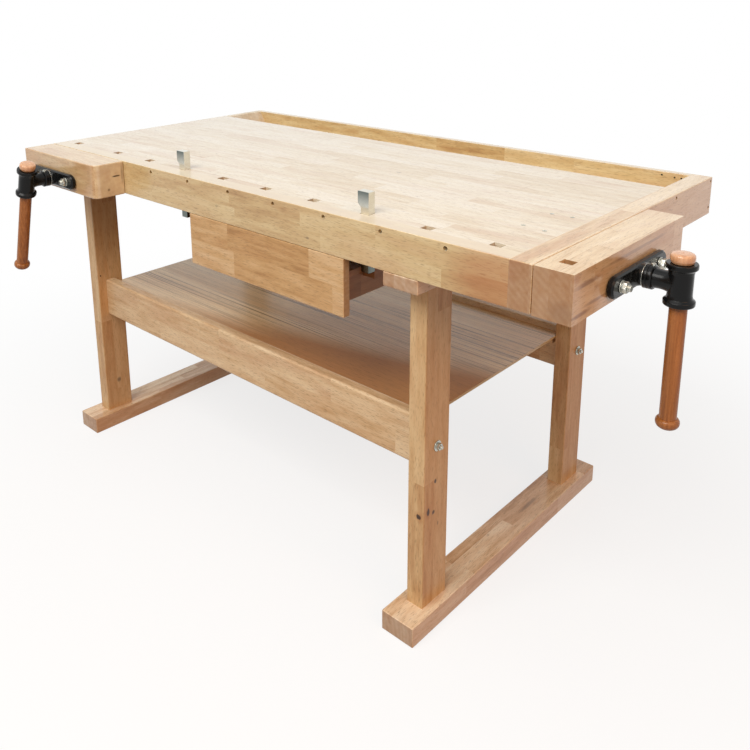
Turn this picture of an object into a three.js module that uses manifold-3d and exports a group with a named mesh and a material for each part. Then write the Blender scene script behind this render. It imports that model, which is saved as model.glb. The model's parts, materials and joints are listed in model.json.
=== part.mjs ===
// Woodworking bench with a front vise, an end vise, a tool tray, a drawer and a lower shelf.
// Millimetres, +Z up. The layout frame has x from the left end of the top, y from the front
// face of the apron and z from the floor; the finished group is shifted so that its origin
// lies on the floor below the middle of the whole object.
import * as THREE from 'three';
import { mergeVertices } from 'three/addons/utils/BufferGeometryUtils.js';
import Module from 'manifold-3d';

const wasm = await Module();
wasm.setup();

// Driving dimensions: bench top
const topLength = 1500;
const topDepth = 766;
const topHeight = 860;
const edgeHeight = 84;
const slabThickness = 36;
const apronThickness = 38;
const dogStripDepth = 32;
const endCapWidth = 42;
const backRailThickness = 20;

// Driving dimensions: tool tray
const trayWidth = 136;
const trayDepth = 48;
const trayFloorThickness = 12;
const trayWallThickness = 22;
const trayGrooveDepth = 6;
const rampLand = 24;
const rampRun = 28;

// Driving dimensions: bench dogs and their holes
const dogHoleLength = 23;
const dogHoleWidth = 19;
const dogPitch = 144;
const lastDogFromEnd = 93;
const firstDogFromLeft = 58;
const dogShankLength = 20;
const dogHeadOverhang = 8;
const dogHeadHeight = 28;
const dogAboveTop = 44;
const dogBelowEdge = 33;
const springThickness = 0.8;
const springWidth = 10;
const springAboveTop = 12;
const springLength = 104;

// Driving dimensions: screw pockets in the apron and the end cap
const pocketRadius = 4.5;
const pocketDepth = 14;
const pocketDrop = 10.5;
const capPocketRadius = 3.5;
const capPocketDrop = 8;

// Driving dimensions: trestles
const footWidth = 80;
const footHeight = 45;
const bearerHeight = 28;
const legThickness = 40;
const legDepth = 80;
const legInset = 56;
const leftFootFromLeft = 19;
const rightFootFromRight = 223;
const tenonShoulder = 12;
const footTenon = 30;
const bearerTenon = 18;

// Driving dimensions: stretchers, shelf and bolts
const stretcherThickness = 30;
const stretcherHeight = 108;
const stretcherBottom = 347;
const shelfThickness = 6;
const shelfBelowStretcherTop = 14;
const cleatSize = 20;
const cleatEndGap = 10;
const boltRadius = 4;
const boltGrip = 60;
const boltStub = 4;
const washerRadius = 11;
const washerThickness = 2;
const boltNutRadius = 7.5;
const boltNutHeight = 7;

// Driving dimensions: drawer
const drawerToRightFoot = 98;
const drawerWidth = 482;
const drawerFrontHeight = 120.5;
const drawerFrontThickness = 18;
const drawerDepth = 400;
const drawerSideInset = 16;
const drawerSideThickness = 12;
const drawerSideHeight = 68;
const drawerSideBelowEdge = 31;
const drawerFlange = 12;
const drawerBottomThickness = 5;
const drawerBottomRise = 6;
const drawerGrooveDepth = 6;
const hangerThickness = 20;
const hangerLip = 13;
const hangerLength = 370;

// Driving dimensions: vise kit, shared by both vises
const screwBelowSlab = 19;
const frontJawLength = 352;
const frontJawThickness = 82;
const frontJawRound = 18;
const endJawDepth = 420;
const endJawThickness = 70;
const endViseFromFront = 216;
const rodSpacing = 150;
const rodRadius = 8;
const rodEndRadius = 6;
const rodReach = 308;
const rodWall = 3;
const plateLength = 213;
const plateHeight = 39;
const plateThickness = 12;
const plateBevel = 3;
const bossRadius = 19;
const bossLength = 8;
const viseNutRadius = 10.4;
const viseNutHeight = 9;
const viseWasherRadius = 11;
const viseWasherThickness = 2;
const studStub = 6;
const spindleRadius = 11;
const spindleReach = 300;
const spindleSocket = 20;
const collarRadius = 21;
const collarLength = 16;
const setScrewRadius = 4;
const setScrewStub = 3;
const neckRadius = 17.5;
const hubReach = 78;
const hubRadius = 20;
const hubFlangeRadius = 25.5;
const hubFlangeHeight = 12;
const hubHeight = 72;
const handleLength = 318;
const handleRadius = 14.5;
const knobRadius = 20;
const knobHeight = 20;
const knobSocket = 10;
const frontHandleSwing = 18; // degrees from upright, knob to the right
const bracketLength = 70;
const bracketMargin = 25;
const bracketPlate = 10;
const bracketBossRadius = 14;
const nutBossRadius = 17;
const frontBracketSetback = 107;
const endBracketSetback = 97;

// Clearances
const fitGap = 0.3;
const runGap = 0.4;
const jawGap = 0.5;
const dogGap = 0.5;
const hangerGap = 2;

// Facets around the turned and bored shapes
const boreSides = 16;
const turnSides = 24;
const domeSteps = 5;

// Places that follow from the driving dimensions
const edgeBottom = topHeight - edgeHeight;
const slabBottom = topHeight - slabThickness;
const bodyLength = topLength - endCapWidth;
const stripBack = apronThickness + dogStripDepth;
const railFront = topDepth - backRailThickness;
const trayFront = railFront - trayWidth;
const trayFloorTop = topHeight - trayDepth;
const trayFloorBottom = trayFloorTop - trayFloorThickness;
const screwHeight = slabBottom - screwBelowSlab;
const rodBore = rodRadius + runGap;
const spindleBore = spindleRadius + runGap;
const frontViseX = firstDogFromLeft + dogHoleLength / 2 + rodWall + rodBore + rodSpacing / 2;
const rightFootX = topLength - rightFootFromRight - footWidth;
const bearerBottom = edgeBottom - bearerHeight;
const leftLegX = leftFootFromLeft + (footWidth - legThickness) / 2;
const rightLegX = rightFootX + (footWidth - legThickness) / 2;
const backLegY = topDepth - legInset - legDepth;
const stretcherTop = stretcherBottom + stretcherHeight;
const frontStretcherY = legInset + (legDepth - stretcherThickness) / 2;
const backStretcherY = backLegY + (legDepth - stretcherThickness) / 2;
const shelfTop = stretcherTop - shelfBelowStretcherTop;
const boltHeight = stretcherBottom + stretcherHeight / 2;
const drawerRight = rightFootX - drawerToRightFoot;
const drawerLeft = drawerRight - drawerWidth;

// Finishes
const finish = (color, roughness, metalness) => new THREE.MeshStandardMaterial({
  color,
  roughness,
  metalness,
  flatShading: true,
});
const paleWood = () => finish(0xe6d6b8, 0.5, 0);
const tanWood = () => finish(0xcdaf82, 0.55, 0);
const plywood = () => finish(0x96826e, 0.6, 0);
const handleWood = () => finish(0xa05f37, 0.35, 0);
const knobWood = () => finish(0xcd8c5a, 0.35, 0);
const castIron = () => finish(0x232426, 0.45, 0.6);
const zincSteel = () => finish(0xb4b8ba, 0.3, 1);

const bench = new THREE.Group();

// A closed geometry with shared corners and no sliver triangles
function welded(source) {
  const bare = source.index ? source.toNonIndexed() : source.clone();
  bare.deleteAttribute('normal');
  bare.deleteAttribute('uv');
  const merged = mergeVertices(bare, 1e-4);
  const index = merged.index.array;
  const kept = [];
  for (let i = 0; i < index.length; i += 3) {
    const [a, b, c] = [index[i], index[i + 1], index[i + 2]];
    if (a !== b && b !== c && c !== a) kept.push(a, b, c);
  }
  merged.setIndex(kept);
  return merged;
}

function signedVolume(geometry) {
  const position = geometry.attributes.position;
  const index = geometry.index.array;
  const [a, b, c] = [new THREE.Vector3(), new THREE.Vector3(), new THREE.Vector3()];
  let sum = 0;
  for (let i = 0; i < index.length; i += 3) {
    a.fromBufferAttribute(position, index[i]);
    b.fromBufferAttribute(position, index[i + 1]);
    c.fromBufferAttribute(position, index[i + 2]);
    sum += a.dot(b.cross(c));
  }
  return sum / 6;
}

// Faces turned to point out of the body
function outward(source) {
  const geometry = welded(source);
  if (signedVolume(geometry) < 0) geometry.setIndex(Array.from(geometry.index.array).reverse());
  return geometry;
}

function solidOf(closed) {
  return new wasm.Manifold(new wasm.Mesh({
    numProp: 3,
    vertProperties: new Float32Array(closed.attributes.position.array),
    triVerts: new Uint32Array(closed.index.array),
  }));
}

function geometryOf(solid) {
  const mesh = solid.getMesh();
  const geometry = new THREE.BufferGeometry();
  geometry.setAttribute('position', new THREE.BufferAttribute(new Float32Array(mesh.vertProperties), 3));
  geometry.setIndex(Array.from(mesh.triVerts));
  return geometry;
}

function cut(geometry, cutters) {
  const body = cutters.reduce((solid, cutter) => solid.subtract(solidOf(cutter)), solidOf(geometry));
  return geometryOf(body);
}

function join(geometries) {
  const body = geometries.slice(1).reduce((solid, other) => solid.add(solidOf(other)), solidOf(geometries[0]));
  return geometryOf(body);
}

// A block given by its lowest and highest corner
function block(low, high) {
  const geometry = new THREE.BoxGeometry(1, 1, 1);
  const position = geometry.attributes.position;
  for (let i = 0; i < position.count; i += 1) {
    const x = position.getX(i) < 0 ? low[0] : high[0];
    const y = position.getY(i) < 0 ? low[1] : high[1];
    const z = position.getZ(i) < 0 ? low[2] : high[2];
    position.setXYZ(i, x, y, z);
  }
  return outward(geometry);
}

// An outline carried straight along one axis: [y, z] along x, [x, z] along y, [x, y] along z
function prism(outline, axis, start, end) {
  const corners = outline.map(([u, v]) => (axis === 'y' ? new THREE.Vector2(v, u) : new THREE.Vector2(u, v)));
  const geometry = new THREE.ExtrudeGeometry(new THREE.Shape(corners), { depth: 1, bevelEnabled: false });
  const position = geometry.attributes.position;
  for (let i = 0; i < position.count; i += 1) {
    const [u, v] = [position.getX(i), position.getY(i)];
    const along = position.getZ(i) < 0.5 ? start : end;
    if (axis === 'x') position.setXYZ(i, along, u, v);
    if (axis === 'y') position.setXYZ(i, v, along, u);
    if (axis === 'z') position.setXYZ(i, u, v, along);
  }
  return outward(geometry);
}

function ringPoints(radius, sides, [u, v] = [0, 0], turn = 0) {
  return Array.from({ length: sides }, (_, i) => {
    const angle = turn + (i / sides) * Math.PI * 2;
    return [u + radius * Math.cos(angle), v + radius * Math.sin(angle)];
  });
}

// A straight round or hexagonal bar along one axis
const bar = (radius, axis, start, end, centre = [0, 0], sides = boreSides) => (
  prism(ringPoints(radius, sides, centre), axis, start, end)
);

// A profile of [radius, height] points turned about a vertical axis, or about x
function turned(profile, axis = 'z') {
  const points = profile.map(([radius, height]) => new THREE.Vector2(radius, height));
  const geometry = new THREE.LatheGeometry(points, turnSides);
  return outward(axis === 'x' ? geometry.rotateZ(-Math.PI / 2) : geometry.rotateX(Math.PI / 2));
}

function addPiece(parent, name, geometry, material) {
  geometry.computeVertexNormals();
  const mesh = new THREE.Mesh(geometry, material);
  mesh.name = name;
  parent.add(mesh);
}

// Bench dog holes: one left of the front vise, then an even row to its right
const rowStart = frontViseX + rodSpacing / 2 + rodBore + rodWall + dogHoleLength / 2;
const rowEnd = topLength - lastDogFromEnd;
const rowCount = 1 + Math.floor((rowEnd - rowStart) / dogPitch);
const dogRow = Array.from({ length: rowCount }, (_, i) => rowEnd - i * dogPitch);
const dogHoles = [...dogRow, firstDogFromLeft];
const rightDogX = dogRow[Math.min(2, rowCount - 1)];
const leftDogX = dogRow[Math.min(6, rowCount - 1)];

// Where each vise sits: local x runs out of the bench along the screw, local z is up
function viseSeat(x, y, turn) {
  const seat = new THREE.Group();
  seat.position.set(x, y, screwHeight);
  seat.rotation.z = turn;
  seat.updateMatrix();
  return seat;
}
const frontSeat = viseSeat(frontViseX, 0, -Math.PI / 2);
const endSeat = viseSeat(topLength, endViseFromFront, 0);

// Bores for the spindle and both rods through the board behind a jaw
function viseBores(seat, depth) {
  const rods = [-1, 1].map((side) => bar(rodBore, 'x', -depth, 1, [side * rodSpacing / 2, 0]));
  return [...rods, bar(spindleBore, 'x', -depth, 1)].map((bore) => bore.applyMatrix4(seat.matrix));
}

// Work top: slab, dadoed dog strip, apron, end cap, back rail and tool tray
function makeTop() {
  addPiece(bench, 'work_top', block([0, stripBack, slabBottom], [bodyLength, trayFront, topHeight]), paleWood());

  const dadoBack = apronThickness + dogHoleWidth;
  const comb = [[0, stripBack], [0, apronThickness]];
  [...dogHoles].sort((a, b) => a - b).forEach((x) => {
    const [left, right] = [x - dogHoleLength / 2, x + dogHoleLength / 2];
    comb.push([left, apronThickness], [left, dadoBack], [right, dadoBack], [right, apronThickness]);
  });
  comb.push([bodyLength, apronThickness], [bodyLength, stripBack]);
  const strip = prism(comb, 'z', edgeBottom, topHeight);
  addPiece(bench, 'dog_strip', cut(strip, viseBores(frontSeat, stripBack + 1)), paleWood());

  const pocketHeight = topHeight - pocketDrop;
  const pockets = dogRow.slice(1).map((x) => (
    bar(pocketRadius, 'y', -1, pocketDepth, [x + dogPitch / 2, pocketHeight], 12)
  ));
  const apron = block([0, 0, edgeBottom], [bodyLength, apronThickness, topHeight]);
  addPiece(bench, 'front_apron', cut(apron, [...pockets, ...viseBores(frontSeat, stripBack)]), tanWood());

  const railMiddle = topDepth - backRailThickness / 2;
  const capPockets = [
    [trayFront - trayWallThickness * 2, topHeight - capPocketDrop],
    [railMiddle, topHeight - capPocketDrop],
    [railMiddle, edgeBottom + capPocketDrop * 2],
  ].map((centre) => bar(capPocketRadius, 'x', topLength - pocketDepth, topLength + 1, centre, 12));
  const cap = block([bodyLength, 0, edgeBottom], [topLength, topDepth, topHeight]);
  addPiece(bench, 'end_cap', cut(cap, [...capPockets, ...viseBores(endSeat, endCapWidth + 1)]), tanWood());

  const grooveLow = trayFloorBottom - fitGap;
  const grooveHigh = trayFloorTop + fitGap;
  const railGroove = railFront + trayGrooveDepth;
  addPiece(bench, 'back_rail', prism([
    [railFront, edgeBottom],
    [topDepth, edgeBottom],
    [topDepth, topHeight],
    [railFront, topHeight],
    [railFront, grooveHigh],
    [railGroove, grooveHigh],
    [railGroove, grooveLow],
    [railFront, grooveLow],
  ], 'x', 0, bodyLength), tanWood());

  const wallGroove = trayFront - trayGrooveDepth;
  addPiece(bench, 'tray_wall', prism([
    [trayFront - trayWallThickness, edgeBottom],
    [trayFront, edgeBottom],
    [trayFront, grooveLow],
    [wallGroove, grooveLow],
    [wallGroove, grooveHigh],
    [trayFront, grooveHigh],
    [trayFront, slabBottom],
    [trayFront - trayWallThickness, slabBottom],
  ], 'x', 0, bodyLength), tanWood());

  addPiece(bench, 'tray_floor', block(
    [0, wallGroove + fitGap, trayFloorBottom],
    [bodyLength, railGroove - fitGap, trayFloorTop],
  ), tanWood());

  addPiece(bench, 'tray_ramp', prism([
    [0, trayFloorTop],
    [rampLand + rampRun, trayFloorTop],
    [rampLand, topHeight],
    [0, topHeight],
  ], 'y', trayFront, railFront), paleWood());
}

// One trestle: foot, two tenoned legs and the bearer that carries the top
function makeTrestle(side, footX, legX) {
  const legFronts = [legInset, backLegY];
  const mortise = (y, low, high) => block(
    [legX - fitGap, y + tenonShoulder - fitGap, low],
    [legX + legThickness + fitGap, y + legDepth - tenonShoulder + fitGap, high],
  );

  const footMortises = legFronts.map((y) => mortise(y, footHeight - footTenon - fitGap, footHeight + 1));
  const foot = block([footX, 0, 0], [footX + footWidth, topDepth, footHeight]);
  addPiece(bench, `${side}_foot`, cut(foot, footMortises), tanWood());

  const bearerMortises = legFronts.map((y) => mortise(y, bearerBottom - 1, bearerBottom + bearerTenon + fitGap));
  const bearer = block([footX, 0, bearerBottom], [footX + footWidth, topDepth, edgeBottom]);
  addPiece(bench, `${side}_bearer`, cut(bearer, bearerMortises), tanWood());

  legFronts.forEach((y, i) => {
    const outline = [
      [y, footHeight],
      [y + tenonShoulder, footHeight],
      [y + tenonShoulder, footHeight - footTenon],
      [y + legDepth - tenonShoulder, footHeight - footTenon],
      [y + legDepth - tenonShoulder, footHeight],
      [y + legDepth, footHeight],
      [y + legDepth, bearerBottom],
      [y + legDepth - tenonShoulder, bearerBottom],
      [y + legDepth - tenonShoulder, bearerBottom + bearerTenon],
      [y + tenonShoulder, bearerBottom + bearerTenon],
      [y + tenonShoulder, bearerBottom],
      [y, bearerBottom],
    ];
    const leg = prism(outline, 'x', legX, legX + legThickness);
    const bore = bar(boltRadius + runGap, 'x', legX - 1, legX + legThickness + 1, [y + legDepth / 2, boltHeight]);
    addPiece(bench, `${side}_${i ? 'back' : 'front'}_leg`, cut(leg, [bore]), tanWood());
  });
}

// Stretchers between the trestles, the bolts that draw them up, and the shelf on its cleats
function makeLowerFrame() {
  const [left, right] = [leftLegX + legThickness, rightLegX];
  const boltHole = boltRadius + runGap;
  const ends = [
    { side: 'left', face: left, out: -1 },
    { side: 'right', face: right, out: 1 },
  ];

  [['front', frontStretcherY], ['back', backStretcherY]].forEach(([place, y]) => {
    const middle = [y + stretcherThickness / 2, boltHeight];
    const bores = ends.map(({ face, out }) => (
      bar(boltHole, 'x', face - out * (boltGrip + 1), face + out, middle)
    ));
    const stretcher = block([left, y, stretcherBottom], [right, y + stretcherThickness, stretcherTop]);
    addPiece(bench, `${place}_stretcher`, cut(stretcher, bores), tanWood());

    ends.forEach(({ side, face, out }) => {
      const seat = face + out * (legThickness + fitGap);
      const nutFace = seat + out * washerThickness;
      const nutEnd = nutFace + out * boltNutHeight;
      const bolt = join([
        bar(boltRadius, 'x', face - out * boltGrip, nutEnd + out * boltStub, middle),
        bar(washerRadius, 'x', seat, nutFace, middle),
        bar(boltNutRadius, 'x', nutFace - out * washerThickness / 2, nutEnd, middle, 6),
      ]);
      addPiece(bench, `${side}_${place}_bolt`, bolt, zincSteel());
    });
  });

  const shelfBottom = shelfTop - shelfThickness;
  const [frontFace, backFace] = [frontStretcherY + stretcherThickness, backStretcherY];
  addPiece(bench, 'shelf', block([left, frontFace, shelfBottom], [right, backFace, shelfTop]), plywood());
  [['front', frontFace], ['back', backFace - cleatSize]].forEach(([place, y]) => {
    addPiece(bench, `${place}_shelf_cleat`, block(
      [left + cleatEndGap, y, shelfBottom - cleatSize],
      [right - cleatEndGap, y + cleatSize, shelfBottom],
    ), tanWood());
  });
}

// Drawer hung by side flanges on two lipped runners below the slab
function makeDrawer() {
  const [left, right] = [drawerLeft, drawerRight];
  const frontTop = edgeBottom - jawGap;
  const sideTop = edgeBottom - drawerSideBelowEdge;
  const sideBottom = sideTop - drawerSideHeight;
  const bottomLow = sideBottom + drawerBottomRise;
  const bottomHigh = bottomLow + drawerBottomThickness;
  const [boxFront, boxBack] = [drawerFrontThickness, drawerFrontThickness + drawerDepth];
  const flangeBottom = sideTop - drawerFlange;
  const lipTop = flangeBottom - fitGap;

  addPiece(bench, 'drawer_front', block(
    [left, 0, frontTop - drawerFrontHeight],
    [right, drawerFrontThickness, frontTop],
  ), tanWood());

  const sides = [
    { name: 'left', outer: left + drawerSideInset, out: -1 },
    { name: 'right', outer: right - drawerSideInset, out: 1 },
  ];
  sides.forEach(({ name, outer, out }) => {
    const inner = outer - out * drawerSideThickness;
    const groove = inner + out * drawerGrooveDepth;
    const flangeEdge = outer + out * drawerFlange;
    addPiece(bench, `drawer_${name}_side`, prism([
      [inner, sideBottom],
      [outer, sideBottom],
      [outer, flangeBottom],
      [flangeEdge, flangeBottom],
      [flangeEdge, sideTop],
      [inner, sideTop],
      [inner, bottomHigh + fitGap],
      [groove, bottomHigh + fitGap],
      [groove, bottomLow - fitGap],
      [inner, bottomLow - fitGap],
    ], 'y', boxFront, boxBack), tanWood());

    const hangerInner = flangeEdge + out * jawGap;
    const hangerOuter = hangerInner + out * hangerThickness;
    const lipEdge = outer + out * hangerGap;
    const hangerFront = stripBack + hangerGap;
    addPiece(bench, `${name}_drawer_hanger`, prism([
      [hangerInner, slabBottom],
      [hangerInner, lipTop],
      [lipEdge, lipTop],
      [lipEdge, lipTop - hangerLip],
      [hangerOuter, lipTop - hangerLip],
      [hangerOuter, slabBottom],
    ], 'y', hangerFront, hangerFront + hangerLength), tanWood());
  });

  const [innerLeft, innerRight] = [sides[0].outer + drawerSideThickness, sides[1].outer - drawerSideThickness];
  const tongue = drawerGrooveDepth - fitGap;
  addPiece(bench, 'drawer_back', block(
    [innerLeft, boxBack - drawerSideThickness, bottomHigh + fitGap],
    [innerRight, boxBack, sideTop],
  ), tanWood());
  addPiece(bench, 'drawer_bottom', block(
    [innerLeft - tongue, boxFront, bottomLow],
    [innerRight + tongue, boxBack, bottomHigh],
  ), plywood());
}

// A steel bench dog, its face to the right, with a bowed leaf spring on its left side
function makeDog(side, holeX) {
  const face = holeX + dogHoleLength / 2 - dogGap;
  const shank = face - dogShankLength;
  const head = shank - dogHeadOverhang;
  const [bottom, top] = [edgeBottom - dogBelowEdge, topHeight + dogAboveTop];
  const [front, back] = [apronThickness + dogGap, apronThickness + dogHoleWidth - dogGap];
  const headBottom = top - dogHeadHeight;
  addPiece(bench, `${side}_dog`, prism([
    [face, bottom],
    [face, top],
    [head, top],
    [head, headBottom + dogHeadOverhang / 2],
    [shank, headBottom - dogHeadOverhang / 2],
    [shank, bottom],
  ], 'y', front, back), zincSteel());

  const springFoot = shank - fitGap;
  const room = dogHoleLength - dogGap - dogShankLength;
  const bow = room - springThickness - fitGap * 2;
  const springTop = topHeight + springAboveTop;
  const bowSteps = 10;
  const edge = (offset) => Array.from({ length: bowSteps + 1 }, (_, i) => [
    springFoot - offset - bow * Math.sin((i / bowSteps) * Math.PI),
    springTop - springLength * (i / bowSteps),
  ]);
  const middle = (front + back) / 2;
  addPiece(bench, `${side}_dog_spring`, prism(
    [...edge(0), ...edge(springThickness).reverse()],
    'y',
    middle - springWidth / 2,
    middle + springWidth / 2,
  ), zincSteel());
}

// A quarter round at one corner of a jaw, as [x, y] points about its centre
function cornerRound(centre, radius, startAngle) {
  return Array.from({ length: domeSteps + 1 }, (_, i) => {
    const angle = startAngle + (i / domeSteps) * Math.PI / 2;
    return [centre[0] + radius * Math.cos(angle), centre[1] + radius * Math.sin(angle)];
  });
}

// Jaw outline seen from above, in the vise's local frame; its far outer corner may be rounded
function jawOutline(thickness, near, far, round) {
  const outer = jawGap + thickness;
  const start = [[jawGap, far], [jawGap, near], [outer, near]];
  if (!round) return [...start, [outer, far]];
  return [...start, ...cornerRound([outer - round, far - round], round, 0)];
}

// Cast plate with bevelled outer edge, bossed for the spindle and drilled for the rods
function plateGeometry(seatX) {
  const end = plateHeight / 2 - plateBevel;
  const reach = plateLength / 2 - plateHeight / 2;
  const outline = new THREE.Shape();
  outline.absarc(reach, 0, end, -Math.PI / 2, Math.PI / 2, false);
  outline.absarc(-reach, 0, end, Math.PI / 2, Math.PI * 1.5, false);
  const bevelled = new THREE.ExtrudeGeometry(outline, {
    depth: plateThickness - plateBevel * 2,
    bevelThickness: plateBevel,
    bevelSize: plateBevel,
    bevelSegments: 1,
    curveSegments: turnSides / 2,
  });
  bevelled.rotateX(Math.PI / 2).rotateZ(Math.PI / 2).translate(seatX + plateBevel, 0, 0);
  const outer = seatX + plateThickness;
  const boss = bar(bossRadius, 'x', outer - plateBevel, outer + bossLength, [0, 0], turnSides);
  const bores = [
    bar(spindleBore, 'x', seatX - 1, outer + bossLength + 1),
    ...[-1, 1].map((side) => (
      bar(rodEndRadius + fitGap, 'x', seatX - 1, outer + 1, [side * rodSpacing / 2, 0])
    )),
  ];
  return cut(join([outward(bevelled), boss]), bores);
}

// A domed end of the handle, as [radius, height] points from its rim to the axis
const domeProfile = (base, direction) => Array.from({ length: domeSteps + 1 }, (_, i) => {
  const angle = (i / domeSteps) * Math.PI / 2;
  const rise = knobHeight * (0.4 + 0.6 * Math.sin(angle));
  return [i === domeSteps ? 0 : knobRadius * Math.cos(angle) ** 0.6, base + direction * rise];
});

// One vise: jaw, plate, rods and nuts slide; spindle, collar and hub turn; the handle slides in the hub,
// which stands swung about the screw
function makeVise(name, seat, jaw, thickness, setback, swing) {
  const add = (piece, geometry, material) => addPiece(seat, `${name}_vise_${piece}`, geometry, material);
  const swung = (geometry) => geometry.rotateX(THREE.MathUtils.degToRad(-swing));
  const jawOuter = jawGap + thickness;
  const plateSeat = jawOuter + fitGap;
  const plateOuter = plateSeat + plateThickness;
  const rodSides = [['a', -rodSpacing / 2], ['b', rodSpacing / 2]];

  const jawBores = [
    bar(spindleBore, 'x', -1, jawOuter + 1),
    ...rodSides.map(([, y]) => bar(rodRadius + fitGap, 'x', -1, jawOuter + 1, [y, 0])),
  ];
  const jawBody = prism(jaw.outline, 'z', edgeBottom - screwHeight, topHeight - screwHeight);
  add('jaw', cut(jawBody, [...jawBores, ...jaw.holes]), paleWood());
  add('plate', plateGeometry(plateSeat), castIron());

  const nutSeat = plateOuter + fitGap;
  const nutFace = nutSeat + viseWasherThickness;
  const nutEnd = nutFace + viseNutHeight;
  rodSides.forEach(([tag, y]) => {
    const rod = turned([
      [0, -rodReach],
      [rodRadius, -rodReach],
      [rodRadius, jawOuter],
      [rodEndRadius, jawOuter],
      [rodEndRadius, nutEnd + studStub],
      [0, nutEnd + studStub],
    ], 'x').translate(0, y, 0);
    add(`rod_${tag}`, rod, zincSteel());
    const nut = join([
      bar(viseWasherRadius, 'x', nutSeat, nutFace, [y, 0]),
      bar(viseNutRadius, 'x', nutFace - viseWasherThickness / 2, nutEnd, [y, 0], 6),
    ]);
    add(`nut_${tag}`, cut(nut, [bar(rodEndRadius + fitGap, 'x', nutSeat - 1, nutEnd + 1, [y, 0], turnSides)]),
      zincSteel());
  });

  const collarStart = plateOuter + bossLength + fitGap;
  const collarEnd = collarStart + collarLength;
  const neckStart = collarEnd + fitGap;
  const socketEnd = neckStart + spindleSocket;
  const hubX = jawOuter + hubReach;
  add('spindle', bar(spindleRadius, 'x', -spindleReach, socketEnd - fitGap), zincSteel());

  const collar = join([
    bar(collarRadius, 'x', collarStart, collarEnd, [0, 0], turnSides),
    bar(setScrewRadius, 'z', collarRadius / 2, collarRadius + setScrewStub,
      [(collarStart + collarEnd) / 2, 0], 12),
  ]);
  const collarBore = bar(spindleRadius + fitGap, 'x', collarStart - 1, collarEnd + 1);
  const collarBores = [collarBore, bar(spindleRadius + fitGap, 'x', collarStart, collarEnd)];
  add('collar', swung(cut(collar, collarBores)), castIron());

  const [hubLow, hubHigh] = [-hubHeight / 2, hubHeight / 2];
  const barrel = turned([
    [0, hubLow],
    [hubFlangeRadius, hubLow],
    [hubFlangeRadius, hubLow + hubFlangeHeight],
    [hubRadius, hubLow + hubFlangeHeight],
    [hubRadius, hubHigh - hubFlangeHeight],
    [hubFlangeRadius, hubHigh - hubFlangeHeight],
    [hubFlangeRadius, hubHigh],
    [0, hubHigh],
  ]).translate(hubX, 0, 0);
  const neck = bar(neckRadius, 'x', neckStart, hubX, [0, 0], turnSides);
  const hubBores = [
    bar(handleRadius + runGap, 'z', hubLow - 1, hubHigh + 1, [hubX, 0], turnSides),
    bar(spindleRadius + fitGap, 'x', neckStart - 1, socketEnd),
  ];
  add('hub', swung(cut(join([barrel, neck]), hubBores)), castIron());

  const knobSeat = hubHigh + fitGap;
  const barTop = knobSeat + knobSocket - fitGap;
  const handleBottom = knobSeat + knobHeight - handleLength;
  const lowerRim = handleBottom + knobHeight;
  add('handle', swung(turned([
    ...domeProfile(lowerRim, -1).reverse(),
    [knobRadius, lowerRim],
    [handleRadius, lowerRim],
    [handleRadius, barTop],
    [0, barTop],
  ]).translate(hubX, 0, 0)), handleWood());
  add('knob', swung(turned([
    [0, knobSeat + knobSocket],
    [handleRadius + fitGap, knobSeat + knobSocket],
    [handleRadius + fitGap, knobSeat],
    [knobRadius, knobSeat],
    ...domeProfile(knobSeat, 1),
  ]).translate(hubX, 0, 0)), knobWood());

  const [near, far] = [-setback - bracketLength / 2, -setback + bracketLength / 2];
  const ceiling = screwBelowSlab - fitGap;
  const halfWidth = rodSpacing / 2 + bracketMargin;
  const bosses = [[0, nutBossRadius], ...rodSides.map(([, y]) => [y, bracketBossRadius])];
  const casting = join([
    block([near, -halfWidth, ceiling - bracketPlate], [far, halfWidth, ceiling]),
    ...bosses.map(([y, radius]) => block([near, y - radius, 0], [far, y + radius, ceiling - fitGap])),
    ...bosses.map(([y, radius]) => bar(radius, 'x', near, far, [y, 0], turnSides)),
  ]);
  const castingBores = [
    bar(spindleBore, 'x', near - 1, far + 1),
    ...rodSides.map(([, y]) => bar(rodBore, 'x', near - 1, far + 1, [y, 0])),
  ];
  add('bracket', cut(casting, castingBores), castIron());
  bench.add(seat);
}

makeTop();
makeTrestle('left', leftFootFromLeft, leftLegX);
makeTrestle('right', rightFootX, rightLegX);
makeLowerFrame();
makeDrawer();
makeDog('left', leftDogX);
makeDog('right', rightDogX);

const frontJaw = {
  outline: jawOutline(frontJawThickness, -frontViseX, frontJawLength - frontViseX, frontJawRound),
  holes: [],
};
makeVise('front', frontSeat, frontJaw, frontJawThickness, frontBracketSetback, frontHandleSwing);

const jawDogX = jawGap + endJawThickness / 2;
const jawDogY = apronThickness - endViseFromFront;
const endJaw = {
  outline: jawOutline(endJawThickness, -endViseFromFront, endJawDepth - endViseFromFront, 0),
  holes: [block(
    [jawDogX - dogHoleLength / 2, jawDogY, edgeBottom - screwHeight - 1],
    [jawDogX + dogHoleLength / 2, jawDogY + dogHoleWidth, slabThickness + screwBelowSlab + 1],
  )],
};
makeVise('end', endSeat, endJaw, endJawThickness, endBracketSetback, 0);

// The origin lies on the floor, below the middle of the box around the whole object
const rightReach = topLength + jawGap + endJawThickness + hubReach + hubFlangeRadius;
const frontReach = -(jawGap + frontJawThickness + hubReach + hubFlangeRadius);
bench.position.set(-rightReach / 2, -(frontReach + topDepth) / 2, 0);

export default bench;
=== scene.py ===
import json

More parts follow.
